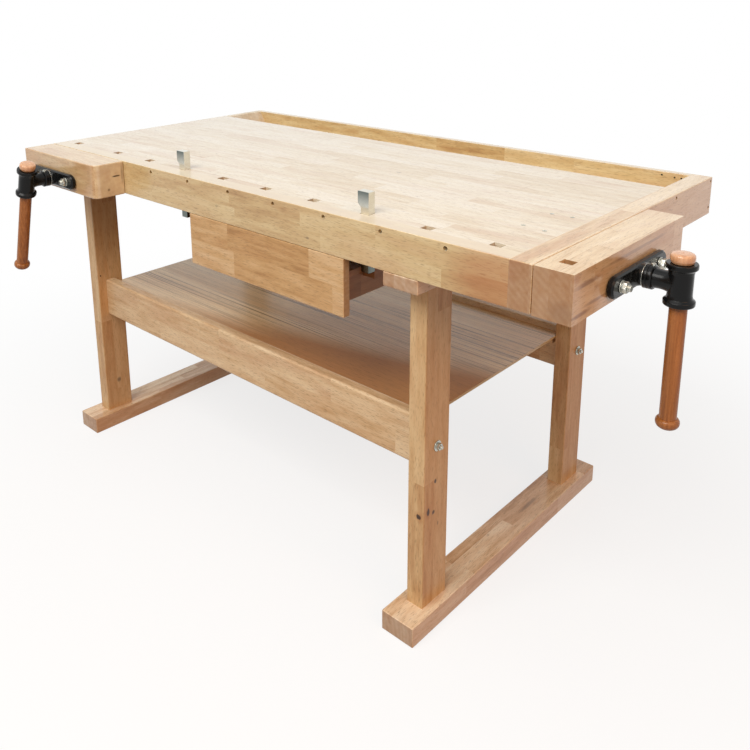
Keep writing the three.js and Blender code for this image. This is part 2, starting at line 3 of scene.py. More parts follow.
import bmesh
import bpy
import numpy as np
from mathutils import Matrix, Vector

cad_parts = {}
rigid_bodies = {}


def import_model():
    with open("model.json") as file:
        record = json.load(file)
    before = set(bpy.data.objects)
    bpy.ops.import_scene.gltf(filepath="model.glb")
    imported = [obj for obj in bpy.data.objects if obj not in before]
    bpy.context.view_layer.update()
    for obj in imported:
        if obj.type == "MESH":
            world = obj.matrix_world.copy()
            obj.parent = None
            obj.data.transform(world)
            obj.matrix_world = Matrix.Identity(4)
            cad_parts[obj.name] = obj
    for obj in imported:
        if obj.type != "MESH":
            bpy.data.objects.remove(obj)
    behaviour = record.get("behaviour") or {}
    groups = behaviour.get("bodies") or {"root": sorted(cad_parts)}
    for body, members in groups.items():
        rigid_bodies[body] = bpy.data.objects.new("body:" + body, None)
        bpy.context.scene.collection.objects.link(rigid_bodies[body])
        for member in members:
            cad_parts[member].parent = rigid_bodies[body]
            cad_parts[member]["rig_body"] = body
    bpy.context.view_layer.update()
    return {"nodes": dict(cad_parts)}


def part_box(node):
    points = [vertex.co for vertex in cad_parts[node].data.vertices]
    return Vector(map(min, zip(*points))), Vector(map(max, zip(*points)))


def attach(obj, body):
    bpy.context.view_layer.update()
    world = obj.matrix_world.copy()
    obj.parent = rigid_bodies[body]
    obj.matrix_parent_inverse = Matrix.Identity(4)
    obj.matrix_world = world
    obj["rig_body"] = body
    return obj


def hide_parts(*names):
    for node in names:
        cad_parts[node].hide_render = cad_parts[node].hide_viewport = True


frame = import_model()
mm = 0.001
print("frame loaded:", len(frame["nodes"]), "nodes")


# One sRGB hex value as linear red, green, blue and alpha
def linear(hexValue):
    parts = np.array([int(hexValue[i:i + 2], 16) for i in (1, 3, 5)]) / 255
    curve = np.where(parts <= 0.04045, parts / 12.92, ((parts + 0.055) / 1.055) ** 2.4)
    return (*curve, 1.0)


# Puts a new object with the given data into the scene
def inScene(name, data):
    holder = bpy.data.objects.new(name, data)
    bpy.context.scene.collection.objects.link(holder)
    return holder


# Stands a camera or a lamp at a point, with its own three axes along the given directions
def stand(holder, point, right, up, back):
    turn = np.eye(4)
    turn[:3, :3] = np.stack([right, up, back], axis=1)
    turn[:3, 3] = point
    holder.matrix_world = Matrix(turn.tolist())


# Camera, floor and light

camera = {
    "place": (1.27051, -1.36798, 1.29253),  # metres
    "yaw": 43.78,  # degrees, turned left from +Y
    "pitch": -14.06,
    "roll": -0.72,
    "focalPixels": 818.8,
    "centrePixels": (332.9, 184.3),  # where the lens axis meets the picture
    "framePixels": 750,
    "sensor": 36.0,  # mm
    "clip": (0.05, 60.0),  # metres
}


# The lens axis follows from yaw and pitch, its side and up directions from the roll, the lens from the focal
# length in pixels, and the shift from where the axis meets the picture
def makeCamera(look):
    yaw, pitch, roll = np.radians([look["yaw"], look["pitch"], look["roll"]])
    ahead = np.array([-np.sin(yaw) * np.cos(pitch), np.cos(yaw) * np.cos(pitch), np.sin(pitch)])
    level = np.array([np.cos(yaw), np.sin(yaw), 0.0])
    raised = np.cross(level, ahead)
    right = np.cos(roll) * level + np.sin(roll) * raised
    up = np.cos(roll) * raised - np.sin(roll) * level
    data = bpy.data.cameras.new("photo_camera")
    data.sensor_width = look["sensor"]
    data.lens = look["focalPixels"] / look["framePixels"] * look["sensor"]
    data.shift_x = 0.5 - look["centrePixels"][0] / look["framePixels"]
    data.shift_y = look["centrePixels"][1] / look["framePixels"] - 0.5
    data.clip_start, data.clip_end = look["clip"]
    holder = inScene("photo_camera", data)
    stand(holder, look["place"], right, up, -ahead)
    bpy.context.scene.camera = holder


makeCamera(camera)
bpy.context.scene.view_settings.view_transform = "Standard"


# Adds one node with its settings, its links or fixed inputs, and the stops of a colour ramp
def addNode(tree, kind, links=None, stops=None, **settings):
    node = tree.nodes.new("ShaderNode" + kind)
    for key, value in settings.items():
        setattr(node, key, value)
    for key, value in (links or {}).items():
        if isinstance(value, bpy.types.NodeSocket):
            tree.links.new(value, node.inputs[key])
        else:
            node.inputs[key].default_value = value
    for i, (place, hexValue) in enumerate(stops or ()):
        elements = node.color_ramp.elements
        stop = elements[i] if i < 2 else elements.new(place)
        stop.position = place
        stop.color = linear(hexValue)
    return node


# One sum on numbers
def sums(tree, operation, *inputs):
    return addNode(tree, "Math", dict(enumerate(inputs)), operation=operation).outputs[0]


# One sum on vectors
def vectors(tree, operation, *inputs):
    node = addNode(tree, "VectorMath", dict(enumerate(inputs)), operation=operation)
    return node.outputs["Value" if operation == "LENGTH" else "Vector"]


# The three numbers of a vector
def split(tree, vector):
    return addNode(tree, "SeparateXYZ", {0: vector}).outputs


# A number carried from one range to another and held at both ends
def ranged(tree, value, low=0.0, high=1.0, start=0.0, end=1.0, **settings):
    return addNode(tree, "MapRange", dict(enumerate((value, low, high, start, end))), **settings).outputs[0]


# Two colours, each linked or a hex value, mixed by a share
def mixed(tree, share, *tones):
    first, second = (linear(tone) if isinstance(tone, str) else tone for tone in tones)
    return addNode(tree, "Mix", {0: share, 6: first, 7: second}, data_type="RGBA").outputs[2]


# Noise of one grain size in mm
def noise(tree, vector, size, detail):
    inputs = {"Vector": vector, "Scale": 1 / (size * mm), "Detail": detail}
    return addNode(tree, "TexNoise", inputs).outputs[0]


# Noise drawn out along one axis, for each named length and width in mm and noise detail
def streaks(tree, vector, sizes, along=0, **more):
    drawn = {}
    for key, (length, width, detail) in sizes.items():
        scale = [1 / (width * mm)] * 3
        scale[along] = 1 / (length * mm)
        pulled = vectors(tree, "MULTIPLY", vector, scale)
        inputs = {"Vector": pulled, "Scale": 1.0, "Detail": detail, **more}
        drawn[key] = addNode(tree, "TexNoise", inputs).outputs[0]
    return drawn


# A new material, its node tree and its texture coordinates
def startMaterial(name):
    material = bpy.data.materials.new(name)
    material.use_nodes = True
    tree = material.node_tree
    tree.nodes.clear()
    return material, tree, addNode(tree, "TexCoord").outputs


# Ends a material: a bump of some strength and depth in mm, the surface's own settings, and the output
def endMaterial(tree, height, strength, depth, **surface):
    bump = addNode(tree, "Bump", {"Strength": strength, "Distance": depth * mm, "Height": height})
    inputs = {key.replace("_", " "): value for key, value in surface.items()}
    shader = addNode(tree, "BsdfPrincipled", {**inputs, "Normal": bump.outputs[0]})
    addNode(tree, "OutputMaterial", {"Surface": shader.outputs[0]})


studio = {
    "floorColour": "#fbfaf9",
    "floorBounce": "#9c7f66",  # what the floor sends back up into the bench
    "floorReach": 14.0,  # metres from the middle
    "floorFade": (0.7, 2.3),  # metres over which the floor passes into the white backdrop
    "shadowKept": 0.25,  # share of the shaded floor that shows near the bench
    "sky": "#ffffff",
    "skyLight": 0.4,
    "lamps": {  # place and size in metres, power in watts
        "window_front": ((0.2, -3.5, 4.25), (3.4, 2.4), 162, "#fffdf8"),
        "ceiling_softbox": ((0.2, -0.9, 3.5), (3.0, 2.2), 14, "#ffffff"),
        "fill_right": ((3.2, -0.8, 2.6), (2.2, 1.8), 30, "#ffbf86"),
    },
    "aim": (0.0, 0.0, 0.7),
}


# One for a ray from the eye, a mirror or a clear body, and nought for any other
def seenDirectly(tree):
    rays = addNode(tree, "LightPath").outputs
    mirror = sums(tree, "MAXIMUM", rays["Is Camera Ray"], rays["Is Glossy Ray"])
    return sums(tree, "MAXIMUM", mirror, rays["Is Transmission Ray"])


# Seen by the eye or in a mirror, the floor passes into the white backdrop; other rays meet the paint alone
def makeFloor(look):
    reach = look["floorReach"]
    corners = [(-reach, -reach, 0), (reach, -reach, 0), (reach, reach, 0), (-reach, reach, 0)]
    mesh = bpy.data.meshes.new("floor")
    mesh.from_pydata(corners, [], [(0, 1, 2, 3)])
    floor = inScene("floor", mesh)
    paint, tree, where = startMaterial("pale_painted_floor")
    seen = seenDirectly(tree)
    away = vectors(tree, "LENGTH", where["Object"])
    span = (*look["floorFade"], 1 - look["shadowKept"], 1.0)
    fade = ranged(tree, away, *span, interpolation_type="SMOOTHSTEP")
    white = sums(tree, "MULTIPLY", fade, seen)
    colour = mixed(tree, seen, look["floorBounce"], look["floorColour"])
    matt = addNode(tree, "BsdfDiffuse", {"Color": colour})
    glow = addNode(tree, "Emission", {"Color": linear(look["sky"]), "Strength": 1.0})
    both = addNode(tree, "MixShader", {0: white, 1: matt.outputs[0], 2: glow.outputs[0]})
    addNode(tree, "OutputMaterial", {"Surface": both.outputs[0]})
    mesh.materials.append(paint)


# The world is white to the eye and gives a share of its light; each lamp's back points away from the aim
def makeLight(look):
    world = bpy.data.worlds.new("white_studio")
    bpy.context.scene.world = world
    world.use_nodes = True
    tree = world.node_tree
    tree.nodes.clear()
    level = ranged(tree, seenDirectly(tree), 0.0, 1.0, look["skyLight"], 1.0)
    glow = addNode(tree, "Background", {"Color": linear(look["sky"]), "Strength": level})
    addNode(tree, "OutputWorld", {"Surface": glow.outputs[0]})
    for name, (point, size, power, tone) in look["lamps"].items():
        data = bpy.data.lights.new(name, "AREA")
        data.shape = "RECTANGLE"
        data.size, data.size_y = size
        data.energy = power
        data.color = linear(tone)[:3]
        holder = inScene(name, data)
        holder.visible_camera = False
        back = np.array(point) - np.array(look["aim"])
        back /= np.linalg.norm(back)
        side = np.cross([0.0, 0.0, 1.0], back)
        side /= np.linalg.norm(side)
        stand(holder, point, side, np.cross(back, side), back)


makeFloor(studio)
makeLight(studio)
print("camera, floor and light made")


# Materials

# Rubberwood: short planed staves, finger-jointed, edge-glued into a panel, sanded and clear lacquered.
# The eye sees rows of blocks that differ a little in tone, fine straight fibre, short dark pores along the
# grain, warmer ringed end grain, and the soft sheen of the lacquer.
woodTones = {
    "top": ["#f0e7d5", "#e9dcc2", "#ddcaa8", "#c6a578"],
    "cap": ["#f2ddba", "#e7cda2", "#d6b586", "#b28558"],
    "jaw": ["#e5cb9e", "#d5b383", "#c09968", "#986b41"],
    "apron": ["#e4cfa1", "#d6bb88", "#c4a26e", "#a17749"],
    "stretcher": ["#ecd2ac", "#dfbf95", "#cda678", "#aa7e53"],
    "drawer": ["#e2c297", "#d4ad7b", "#c29763", "#9b7044"],
    "leg": ["#e5c799", "#d8b484", "#c5996a", "#9b683d"],
    "cross": ["#f3ddbf", "#e5c5a0", "#d1a981", "#aa7d55"],
    # Darker, redder tones that paint the shade under the top onto the drawer sides and hangers
    "side": ["#b5875e", "#a2724a", "#8c5d37", "#6c4325"],
}
woodGrain = {  # length and width of a streak in mm, and noise detail
    "figure": (95, 13, 4.0),
    "band": (150, 30, 2.0),
    "fibre": (30, 2.0, 2.0),
    "pore": (14, 1.3, 1.0),
}
woodLook = {
    "rowStep": 37.31,  # block lengths from one row's chances to the next's
    "uneven": 0.75,  # how much the blocks of a row differ in length
    "figureShift": (9.0, 5.0, 3.0),  # metres by which a stave's own chance moves its figure
    "toneStops": (0.05, 0.42, 0.70, 1.0),
    "figure": (1.1, 0.3, 0.76),  # share in the tone, level it starts from, drop with contrast
    "staveShare": 0.42,
    "fibreShare": 0.30,
    "band": (0.44, 0.66, 0.0, 0.42),
    "bandTone": "#bf885a",
    "pores": (0.57, 0.70, 0.0, 0.5),
    "poreTone": "#8a643d",
    "poreDepth": -1.5,
    "square": (0.75, 0.95),  # from here to here a face counts as square to an axis
    "ringShift": (0.0, 0.16, 0.12),
    "rings": {"Scale": 30.0, "Distortion": 1.6, "Detail": 2.0, "Detail Scale": 1.5},
    "ringShare": 0.07,
    # Painted shade tone for the faces square to X, and painted light tone for the faces square to Z
    "flankTone": "#df8f3f",
    "crownTone": "#ece0c8",
    "ragged": 0.8,  # how far the fibre frays the rim of a mark
    "knotRim": (1.5, 1.1),
    "stainRim": (1.7, 0.9),
    "roughness": (0.36, 0.52),
}
markTone = {"knot": "#2e1506", "stain": "#3f1f0c", "heart": "#b3692f", "rust": "#7a3f16"}


# Marks are ovals: centre in metres, half sizes in mm, strength, and the name of a tone
def rubberwood(name, axes, stave, block, tones, rowStart=0.0, contrast=1.0, coat=0.15, endTone="#8a5934",
               endShare=0.34, flankShadeShare=0.0, crownLightShare=0.0, marks=(), look=woodLook):
    material, tree, where = startMaterial(name)
    spot = split(tree, where["Object"])
    along, across, deep = (spot[axis] for axis in axes)

    # Which stave of which row a point lies in, and that stave's own random numbers
    row = sums(tree, "FLOOR", sums(tree, "MULTIPLY_ADD", across, 1 / (stave * mm), rowStart))
    run = sums(tree, "MULTIPLY", along, 1 / (block * mm))
    cell = sums(tree, "MULTIPLY_ADD", row, look["rowStep"], run)
    blocks = addNode(tree, "TexVoronoi", {"W": cell, "Scale": 1.0, "Randomness": look["uneven"]},
                     voronoi_dimensions="1D").outputs["Color"]
    chance = addNode(tree, "SeparateColor", {0: blocks}).outputs

    # Streaks along the grain, shifted in each stave so that no figure runs on past a joint
    grain = addNode(tree, "CombineXYZ", {0: along, 1: across, 2: deep}).outputs[0]
    streak = streaks(tree, vectors(tree, "MULTIPLY_ADD", blocks, look["figureShift"], grain), woodGrain)

    # Tone: the stave's own, then the broad figure, then the fibre; warm bands run through some of the staves
    share, start, drop = look["figure"]
    figure = sums(tree, "MULTIPLY_ADD", streak["figure"], share * contrast, start - drop * contrast)
    stained = sums(tree, "MULTIPLY_ADD", chance[0], look["staveShare"] * contrast, figure)
    level = sums(tree, "MULTIPLY_ADD", streak["fibre"], look["fibreShare"], stained)
    colour = addNode(tree, "ValToRGB", {0: level}, stops=list(zip(look["toneStops"], woodTones[tones])))
    *reach, strength = look["band"]
    band = ranged(tree, streak["band"], *reach, strength * contrast)
    warmed = mixed(tree, sums(tree, "MULTIPLY", band, chance[1]), colour.outputs[0], look["bandTone"])
    pores = ranged(tree, streak["pore"], *look["pores"])
    sided = mixed(tree, pores, warmed, look["poreTone"])

    # Painted light and shade: warmer on the faces square to X as painted shade, paler on the faces square to
    # Z as painted light
    facing = split(tree, where["Normal"])
    for axis, most, tone in (("X", flankShadeShare, "flankTone"), ("Z", crownLightShare, "crownTone")):
        turned = sums(tree, "ABSOLUTE", facing[axis])
        sided = mixed(tree, ranged(tree, turned, *look["square"], 0.0, most), sided, look[tone])

    # End grain on the faces square to the grain: growth rings about a centre of the stave's own
    end = ranged(tree, sums(tree, "ABSOLUTE", facing[axes[0]]), *look["square"])
    heart = vectors(tree, "MULTIPLY_ADD", blocks, look["ringShift"], grain)
    flat = vectors(tree, "MULTIPLY", heart, (0.0, 1.0, 1.0))
    rings = addNode(tree, "TexWave", {"Vector": flat, **look["rings"]}, wave_type="RINGS",
                    rings_direction="X")
    ringLevel = sums(tree, "MULTIPLY_ADD", rings.outputs[1], look["ringShare"], endShare)
    faced = mixed(tree, end, sided, mixed(tree, ringLevel, warmed, endTone))

    # Knots, stains, heartwood and rusty streaks with a ragged rim; the broad dark mark high on the left front
    # leg is painted shade
    for centre, sizes, strength, tone in marks:
        away = vectors(tree, "SUBTRACT", where["Object"], centre)
        scaled = vectors(tree, "MULTIPLY", away, [1 / (size * mm) for size in sizes])
        ragged = sums(tree, "MULTIPLY_ADD", streak["fibre"], look["ragged"], vectors(tree, "LENGTH", scaled))
        rim = look["knotRim" if tone == "knot" else "stainRim"]
        faced = mixed(tree, ranged(tree, ragged, *rim, 0.0, strength), faced, markTone[tone])

    relief = sums(tree, "MULTIPLY_ADD", pores, look["poreDepth"], streak["fibre"])
    matt = ranged(tree, streak["fibre"], 0.0, 1.0, *look["roughness"])
    endMaterial(tree, relief, strength=0.25, depth=0.1, Base_Color=faced, Roughness=matt, IOR=1.5,
                Specular_IOR_Level=0.3, Coat_Weight=coat, Coat_Roughness=0.16)
    return material


# Plywood: a rotary-cut open-grained brown veneer on a pale core, oiled.
# The eye sees thin dark grain lines in a light brown field with a dull sheen, a plainer and darker leaf
# that widens along the front to the right, whose darker tone is partly painted shade of the legs and drawer,
# and the pale core on the cut edges.
veneerGrain = {  # length and width of a streak in mm, and noise detail
    "field": (700, 60, 2.0),
    "zone": (900, 110, 1.0),
    "line": (620, 3.4, 3.0),
    "pore": (26, 1.1, 1.0),
}
veneerLook = {
    "wave": 0.4,  # how far the noise bends the streaks
    "field": [(0.30, "#f3d9ae"), (0.52, "#e6c594"), (0.74, "#caa06d")],
    # Warm leaf tone, darkened to the front right as painted shade of the legs and drawer
    "leafShadeTone": "#b9834f",
    "leafSlant": -0.3,  # how the leaf's edge runs back to the right
    "leafWander": 0.16,  # metres
    "leafEdge": (-0.01, 0.08),
    "leafSheen": (0.1, 0.62),
    "leafLines": (0.85, 0.15),
    "zoneLines": (0.38, 0.6, 0.25, 0.85),
    "line": (0.505, 0.58),
    "lineTone": "#6b4526",
    "pores": (0.56, 0.70, 0.0, 0.35),
    "poreTone": "#4a3424",
    "faceUp": (0.5, 0.8),
    "plies": {"Scale": 52.0, "Distortion": 0.6},
    "coreTones": ("#e2cda6", "#c9a877"),
}


def veneeredPlywood(name, look=veneerLook):
    material, tree, where = startMaterial(name)
    streak = streaks(tree, where["Object"], veneerGrain, Distortion=look["wave"])
    field = addNode(tree, "ValToRGB", {0: streak["field"]}, stops=look["field"]).outputs[0]
    spot = split(tree, where["Object"])
    slant = sums(tree, "MULTIPLY_ADD", spot["X"], look["leafSlant"], spot["Y"])
    wander = sums(tree, "MULTIPLY_ADD", streak["zone"], look["leafWander"], slant)
    leafAndShade = ranged(tree, wander, *look["leafEdge"])
    sheen = ranged(tree, leafAndShade, 0.0, 1.0, *look["leafSheen"])
    zone = ranged(tree, streak["zone"], *look["zoneLines"])
    strength = sums(tree, "MULTIPLY", zone, sums(tree, "MULTIPLY_ADD", leafAndShade, *look["leafLines"]))
    lines = ranged(tree, streak["line"], *look["line"], 0.0, strength)
    lined = mixed(tree, lines, mixed(tree, leafAndShade, look["leafShadeTone"], field), look["lineTone"])
    veneer = mixed(tree, ranged(tree, streak["pore"], *look["pores"]), lined, look["poreTone"])
    flat = sums(tree, "ABSOLUTE", split(tree, where["Normal"])["Z"])
    plies = addNode(tree, "TexWave", {"Vector": where["Object"], **look["plies"]}, bands_direction="Z")
    core = mixed(tree, plies.outputs[1], *look["coreTones"])
    colour = mixed(tree, ranged(tree, flat, *look["faceUp"]), core, veneer)
    endMaterial(tree, streak["pore"], strength=0.3, depth=0.1, Base_Color=colour, Roughness=0.46, IOR=1.5,
                Specular_IOR_Level=0.25, Coat_Weight=sheen, Coat_Roughness=0.22)
    return material


# Grey iron, sand-cast, fettled and dipped in black semi-gloss enamel.
# The eye sees deep black with a soft highlight that the sand texture under the paint breaks up.
ironLook = {
    "sand": (2.2, 3.0),  # grain size in mm, and noise detail
    "cloud": (26, 2.0),
    "tones": ("#0c0d0e", "#151617"),
    "roughness": (0.16, 0.28),
}
cloudSpan = (0.3, 0.7)  # the part of the cloud noise that changes the gloss of iron and zinc


def blackCastIron(name, look=ironLook):
    material, tree, where = startMaterial(name)
    sand = noise(tree, where["Object"], *look["sand"])
    cloud = noise(tree, where["Object"], *look["cloud"])
    colour = mixed(tree, cloud, *look["tones"])
    gloss = ranged(tree, cloud, *cloudSpan, *look["roughness"])
    endMaterial(tree, sand, strength=0.22, depth=0.25, Base_Color=colour, Roughness=gloss, IOR=1.5,
                Specular_IOR_Level=0.16, Coat_Weight=0.6, Coat_IOR=1.16, Coat_Roughness=0.12)
    return material


# Steel, drawn or pressed, bright zinc plated.
# The eye sees a silver mirror clouded by the plating, with a faint yellow and blue cast. On a bench dog the
# pale cream tone partly paints the reflection of the pale top, the front is painted grey towards the head as
# a painted reflection, and the lower end below the top is painted grey all round as painted shade.
zincLook = {"tones": ("#c9cccd", "#b7b39c"), "roughness": (0.2, 0.38), "relief": 0.08}
dogLook = {
    # Pale cream tones that partly paint the reflection of the pale top
    "tones": ("#e9e7dc", "#d9d5c6"),
    "roughness": (0.12, 0.2),
    "relief": 0.02,
    "paintedDarkTone": "#6f7672",
    "paintedReflectionHead": (0.864, 0.902),  # heights in metres
    "paintedShadeFoot": (0.80, 0.78),
}
platingGrain = {"cloud": (9, 3.0), "grit": (0.7, 2.0)}


def zincPlate(name, look):
    material, tree, where = startMaterial(name)
    cloud, grit = (noise(tree, where["Object"], *platingGrain[key]) for key in ("cloud", "grit"))
    colour = mixed(tree, cloud, *look["tones"])
    # Painted light on a bench dog: a grey painted reflection on its front towards the head, and grey painted
    # shade all round its lower end below the top
    if "paintedDarkTone" in look:
        height = split(tree, where["Object"])["Z"]
        front = sums(tree, "ABSOLUTE", split(tree, where["Normal"])["Y"])
        head, foot = (ranged(tree, height, *look[key]) for key in ("paintedReflectionHead", "paintedShadeFoot"))
        colour = mixed(tree, sums(tree, "MULTIPLY_ADD", head, front, foot), colour, look["paintedDarkTone"])
    endMaterial(tree, grit, look["relief"], depth=0.05, Base_Color=colour, Metallic=1.0,
                Roughness=ranged(tree, cloud, *cloudSpan, *look["roughness"]))
    return material


# Beech, turned between centres, stained orange-brown and varnished.
# The eye sees short rays and streaks along the bar under a warm gloss.
beechGrain = {"stripe": (120, 5.0, 2.0), "ray": (5, 0.8, 1.0)}
beechLook = {"rays": (0.55, 0.72, 0.0, 0.35), "rayTone": "#6b3717", "stops": (0.25, 0.5, 0.75)}


def varnishedBeech(name, tones, coat, look=beechLook):
    material, tree, where = startMaterial(name)
    streak = streaks(tree, where["Object"], beechGrain, along=2)
    colour = addNode(tree, "ValToRGB", {0: streak["stripe"]}, stops=list(zip(look["stops"], tones)))
    rays = ranged(tree, streak["ray"], *look["rays"])
    rayed = mixed(tree, rays, colour.outputs[0], look["rayTone"])
    endMaterial(tree, streak["ray"], strength=0.15, depth=0.08, Base_Color=rayed, Roughness=0.38, IOR=1.5,
                Specular_IOR_Level=0.25, Coat_Weight=coat, Coat_Roughness=0.12)
    return material


woodMarks = {
    "leg": [
        ((0.4077, -0.234, 0.2548), (10, 8, 12), 0.35, "heart"),
        ((0.4077, -0.234, 0.2548), (6, 4, 6.4), 0.95, "knot"),
        ((0.42, -0.2185, 0.2633), (8, 9, 15), 0.35, "heart"),
        ((0.42, -0.2185, 0.2633), (4, 4.6, 9), 0.92, "knot"),
        ((0.42, -0.2015, 0.2549), (4, 4.4, 5), 0.85, "knot"),
        ((0.42, -0.1972, 0.3232), (4, 3.8, 5), 0.92, "knot"),
        ((0.42, -0.1861, 0.2221), (3, 2, 5), 0.5, "stain"),
        ((-0.758, -0.2244, 0.4706), (3, 2.2, 3), 0.95, "knot"),
        ((-0.758, -0.1923, 0.1315), (4, 6.5, 7.5), 0.6, "stain"),
        # Painted shade: the upper part of the left front leg's right face, darkened where the top shades it
        ((-0.758, -0.194, 0.7), (6, 90, 200), 0.4, "stain"),
    ],
    "apron": [
        ((-0.119, -0.29, 0.8109), (5, 2, 2.2), 0.4, "stain"),
        ((0.1659, -0.29, 0.7976), (5, 2, 2.6), 0.5, "stain"),
        ((0.595, -0.29, 0.81), (80, 6, 70), 0.5, "heart"),
    ],
    "top": [((0.113, 0.0599, 0.86), (8, 4, 2), 0.45, "stain")],
    "jaw": [
        ((-0.485, -0.313, 0.8258), (3, 12, 2.2), 0.9, "knot"),
        # A darker streak down the jaw's side at the corner where it meets the apron
        ((-0.485, -0.296, 0.83), (3, 3, 24), 0.4, "stain"),
        ((-0.485, -0.3356, 0.7943), (3, 3.4, 3.4), 0.55, "stain"),
    ],
    "cap": [
        ((0.7335, -0.09, 0.845), (5, 95, 3.6), 0.5, "rust"),
        ((0.7335, 0.01, 0.8455), (5, 42, 3.0), 0.4, "rust"),
        ((0.7335, -0.245, 0.835), (5, 40, 4.5), 0.6, "rust"),
        ((0.7335, -0.262, 0.788), (5, 32, 3.6), 0.65, "rust"),
        ((0.7335, -0.215, 0.798), (5, 36, 3.2), 0.55, "rust"),
        ((0.7335, -0.28, 0.85), (5, 11, 8), 0.4, "heart"),
        ((0.716, -0.29, 0.793), (24, 5, 20), 0.2, "stain"),
    ],
    "cross": [((0.4, 0.215, 0.045), (5, 40, 5), 0.45, "stain")],
}
# Each wood: its name, the axes along, across and through its grain, stave width and block length in mm, and
# its own settings; a row start counts the staves from the floor or from the middle
woods = {
    "top": ("top_staves_lacquered", "XYZ", 46, 340, dict(contrast=0.9, coat=0.95)),
    "apron": ("long_board_lacquered", "XZY", 42, 260, dict(rowStart=-776 / 42, coat=0.9, crownLightShare=0.65)),
    "cap": ("end_cap_lacquered", "YXZ", 35, 380, dict(
        rowStart=0.2, contrast=1.1, coat=0.95, endTone="#945a2a", endShare=0.66, flankShadeShare=0.25)),
    "jaw": ("jaw_lacquered", "XYZ", 41, 300, dict(contrast=1.2, coat=0.95, endTone="#e8d5b8")),
    "stretcher": ("stretcher_lacquered", "XZY", 54, 420, dict(rowStart=61 - 347 / 54, contrast=1.1)),
    "drawer": ("drawer_lacquered", "XZY", 61, 300, dict(rowStart=-655 / 61, contrast=1.1)),
    "cross": ("cross_beam_lacquered", "YXZ", 80 / 3, 380, dict(
        rowStart=19.5, contrast=1.2, coat=0.5, endShare=0.5, flankShadeShare=0.28)),
    "side": ("drawer_side_stained", "YZX", 60, 420, dict(contrast=0.7, coat=0.1)),
    "leg": ("leg_lacquered", "ZYX", 40, 520, dict(contrast=1.2, flankShadeShare=0.25)),
}
finish = {}
for key, (name, axes, stave, block, own) in woods.items():
    finish[key + "Wood"] = rubberwood("rubberwood_" + name, axes, stave, block, key,
                                      marks=woodMarks.get(key, ()), **own)
finish["plywood"] = veneeredPlywood("plywood_brown_veneer_oiled")
finish["castIron"] = blackCastIron("cast_iron_black_enamel")
finish["zinc"] = zincPlate("steel_bright_zinc_plate", zincLook)
finish["dogSteel"] = zincPlate("steel_flat_bar_zinc_plate", dogLook)
finish["handleWood"] = varnishedBeech("beech_turned_brown_varnish", ("#b4743f", "#a0632f", "#864d21"), 0.25)
finish["knobWood"] = varnishedBeech("beech_turned_orange_varnish", ("#e6b68c", "#dca67a", "#c89066"), 1.0)
print("materials made:", len(finish))


# Meshes

joinWithin = 1e-7  # metres between points that are one


# Closed surfaces, each a grid of points whose columns run round it and whose end rows shrink to a point or
# meet; equal points are joined, and each surface is turned to face outwards
def closedMesh(name, surfaces, sharpAngle=32, normals=None):
    allPoints, allFaces, start = [], [], 0
    for points in surfaces:
        index = np.arange(points[..., 0].size).reshape(points.shape[:2])
        lower, upper = index[:-1], index[1:]
        quads = np.stack([lower, np.roll(lower, -1, axis=1), np.roll(upper, -1, axis=1), upper], axis=-1)
        quads = quads.reshape(-1, 4)
        corner = points.reshape(-1, 3)
        a, b, c, d = (corner[quads[:, i]] for i in range(4))
        volume = np.sum(a * np.cross(b, c)) + np.sum(a * np.cross(c, d))
        allFaces.append((quads if volume > 0 else quads[:, ::-1]) + start)
        allPoints.append(corner)
        start += len(corner)
    points, faces = np.concatenate(allPoints), np.concatenate(allFaces)
    rounded = np.round(points / joinWithin)
    _, first, joined = np.unique(rounded, axis=0, return_index=True, return_inverse=True)
    faces = joined.reshape(-1)[faces]
    same = faces == np.roll(faces, -1, axis=1)
    once = same.sum(axis=1) == 1
    quads = faces[~same.any(axis=1)]
    triangles = faces[once][~same[once]].reshape(-1, 3)
    mesh = bpy.data.meshes.new(name)
    mesh.from_pydata(points[first].tolist(), [], quads.tolist() + triangles.tolist())
    mesh.shade_smooth()
    if normals is not None:
        mesh.normals_split_custom_set_from_vertices(normals.reshape(-1, 3)[first].tolist())
    else:
        mesh.set_sharp_from_angle(angle=np.radians(sharpAngle))
    return inScene(name, mesh)


# Gives a piece its finish and body, and hides the nodes it stands for
def settle(piece, look, slot, *replaced, body=None):
    piece.data.materials.append(finish[look])
    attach(piece, body or frame["nodes"][replaced[0]]["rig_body"])
    if replaced:
        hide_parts(*replaced)


# A convex outline with round corners: each corner becomes an arc about a centre drawn in by its radius,
# from the normal of the side before it to the normal of the side after it; gives points and normals
def roundOutline(corners, radius, steps=5):
    corners = np.asarray(corners, float)
    radius = np.broadcast_to(np.asarray(radius, float), len(corners))[:, None]
    sides = np.roll(corners, -1, axis=0) - corners
    after = np.arctan2(-sides[:, 0], sides[:, 1])
    before = np.roll(after, 1)
    sweep = (after - before) % (2 * np.pi)
    normalBefore = np.stack([np.cos(before), np.sin(before)], axis=1)
    normalAfter = np.stack([np.cos(after), np.sin(after)], axis=1)
    lean = 1 + np.sum(normalBefore * normalAfter, axis=1, keepdims=True)
    centre = corners - radius * (normalBefore + normalAfter) / lean
    angle = before[:, None] + sweep[:, None] * np.linspace(0, 1, steps)
    normal = np.stack([np.cos(angle), np.sin(angle)], axis=-1)
    points = centre[:, None] + radius[:, None] * normal
    return points.reshape(-1, 2), normal.reshape(-1, 2)


# The four corners of a rectangle, in turn
def rectangle(low, high):
    return [(low[0], low[1]), (high[0], low[1]), (high[0], high[1]), (low[0], high[1])]


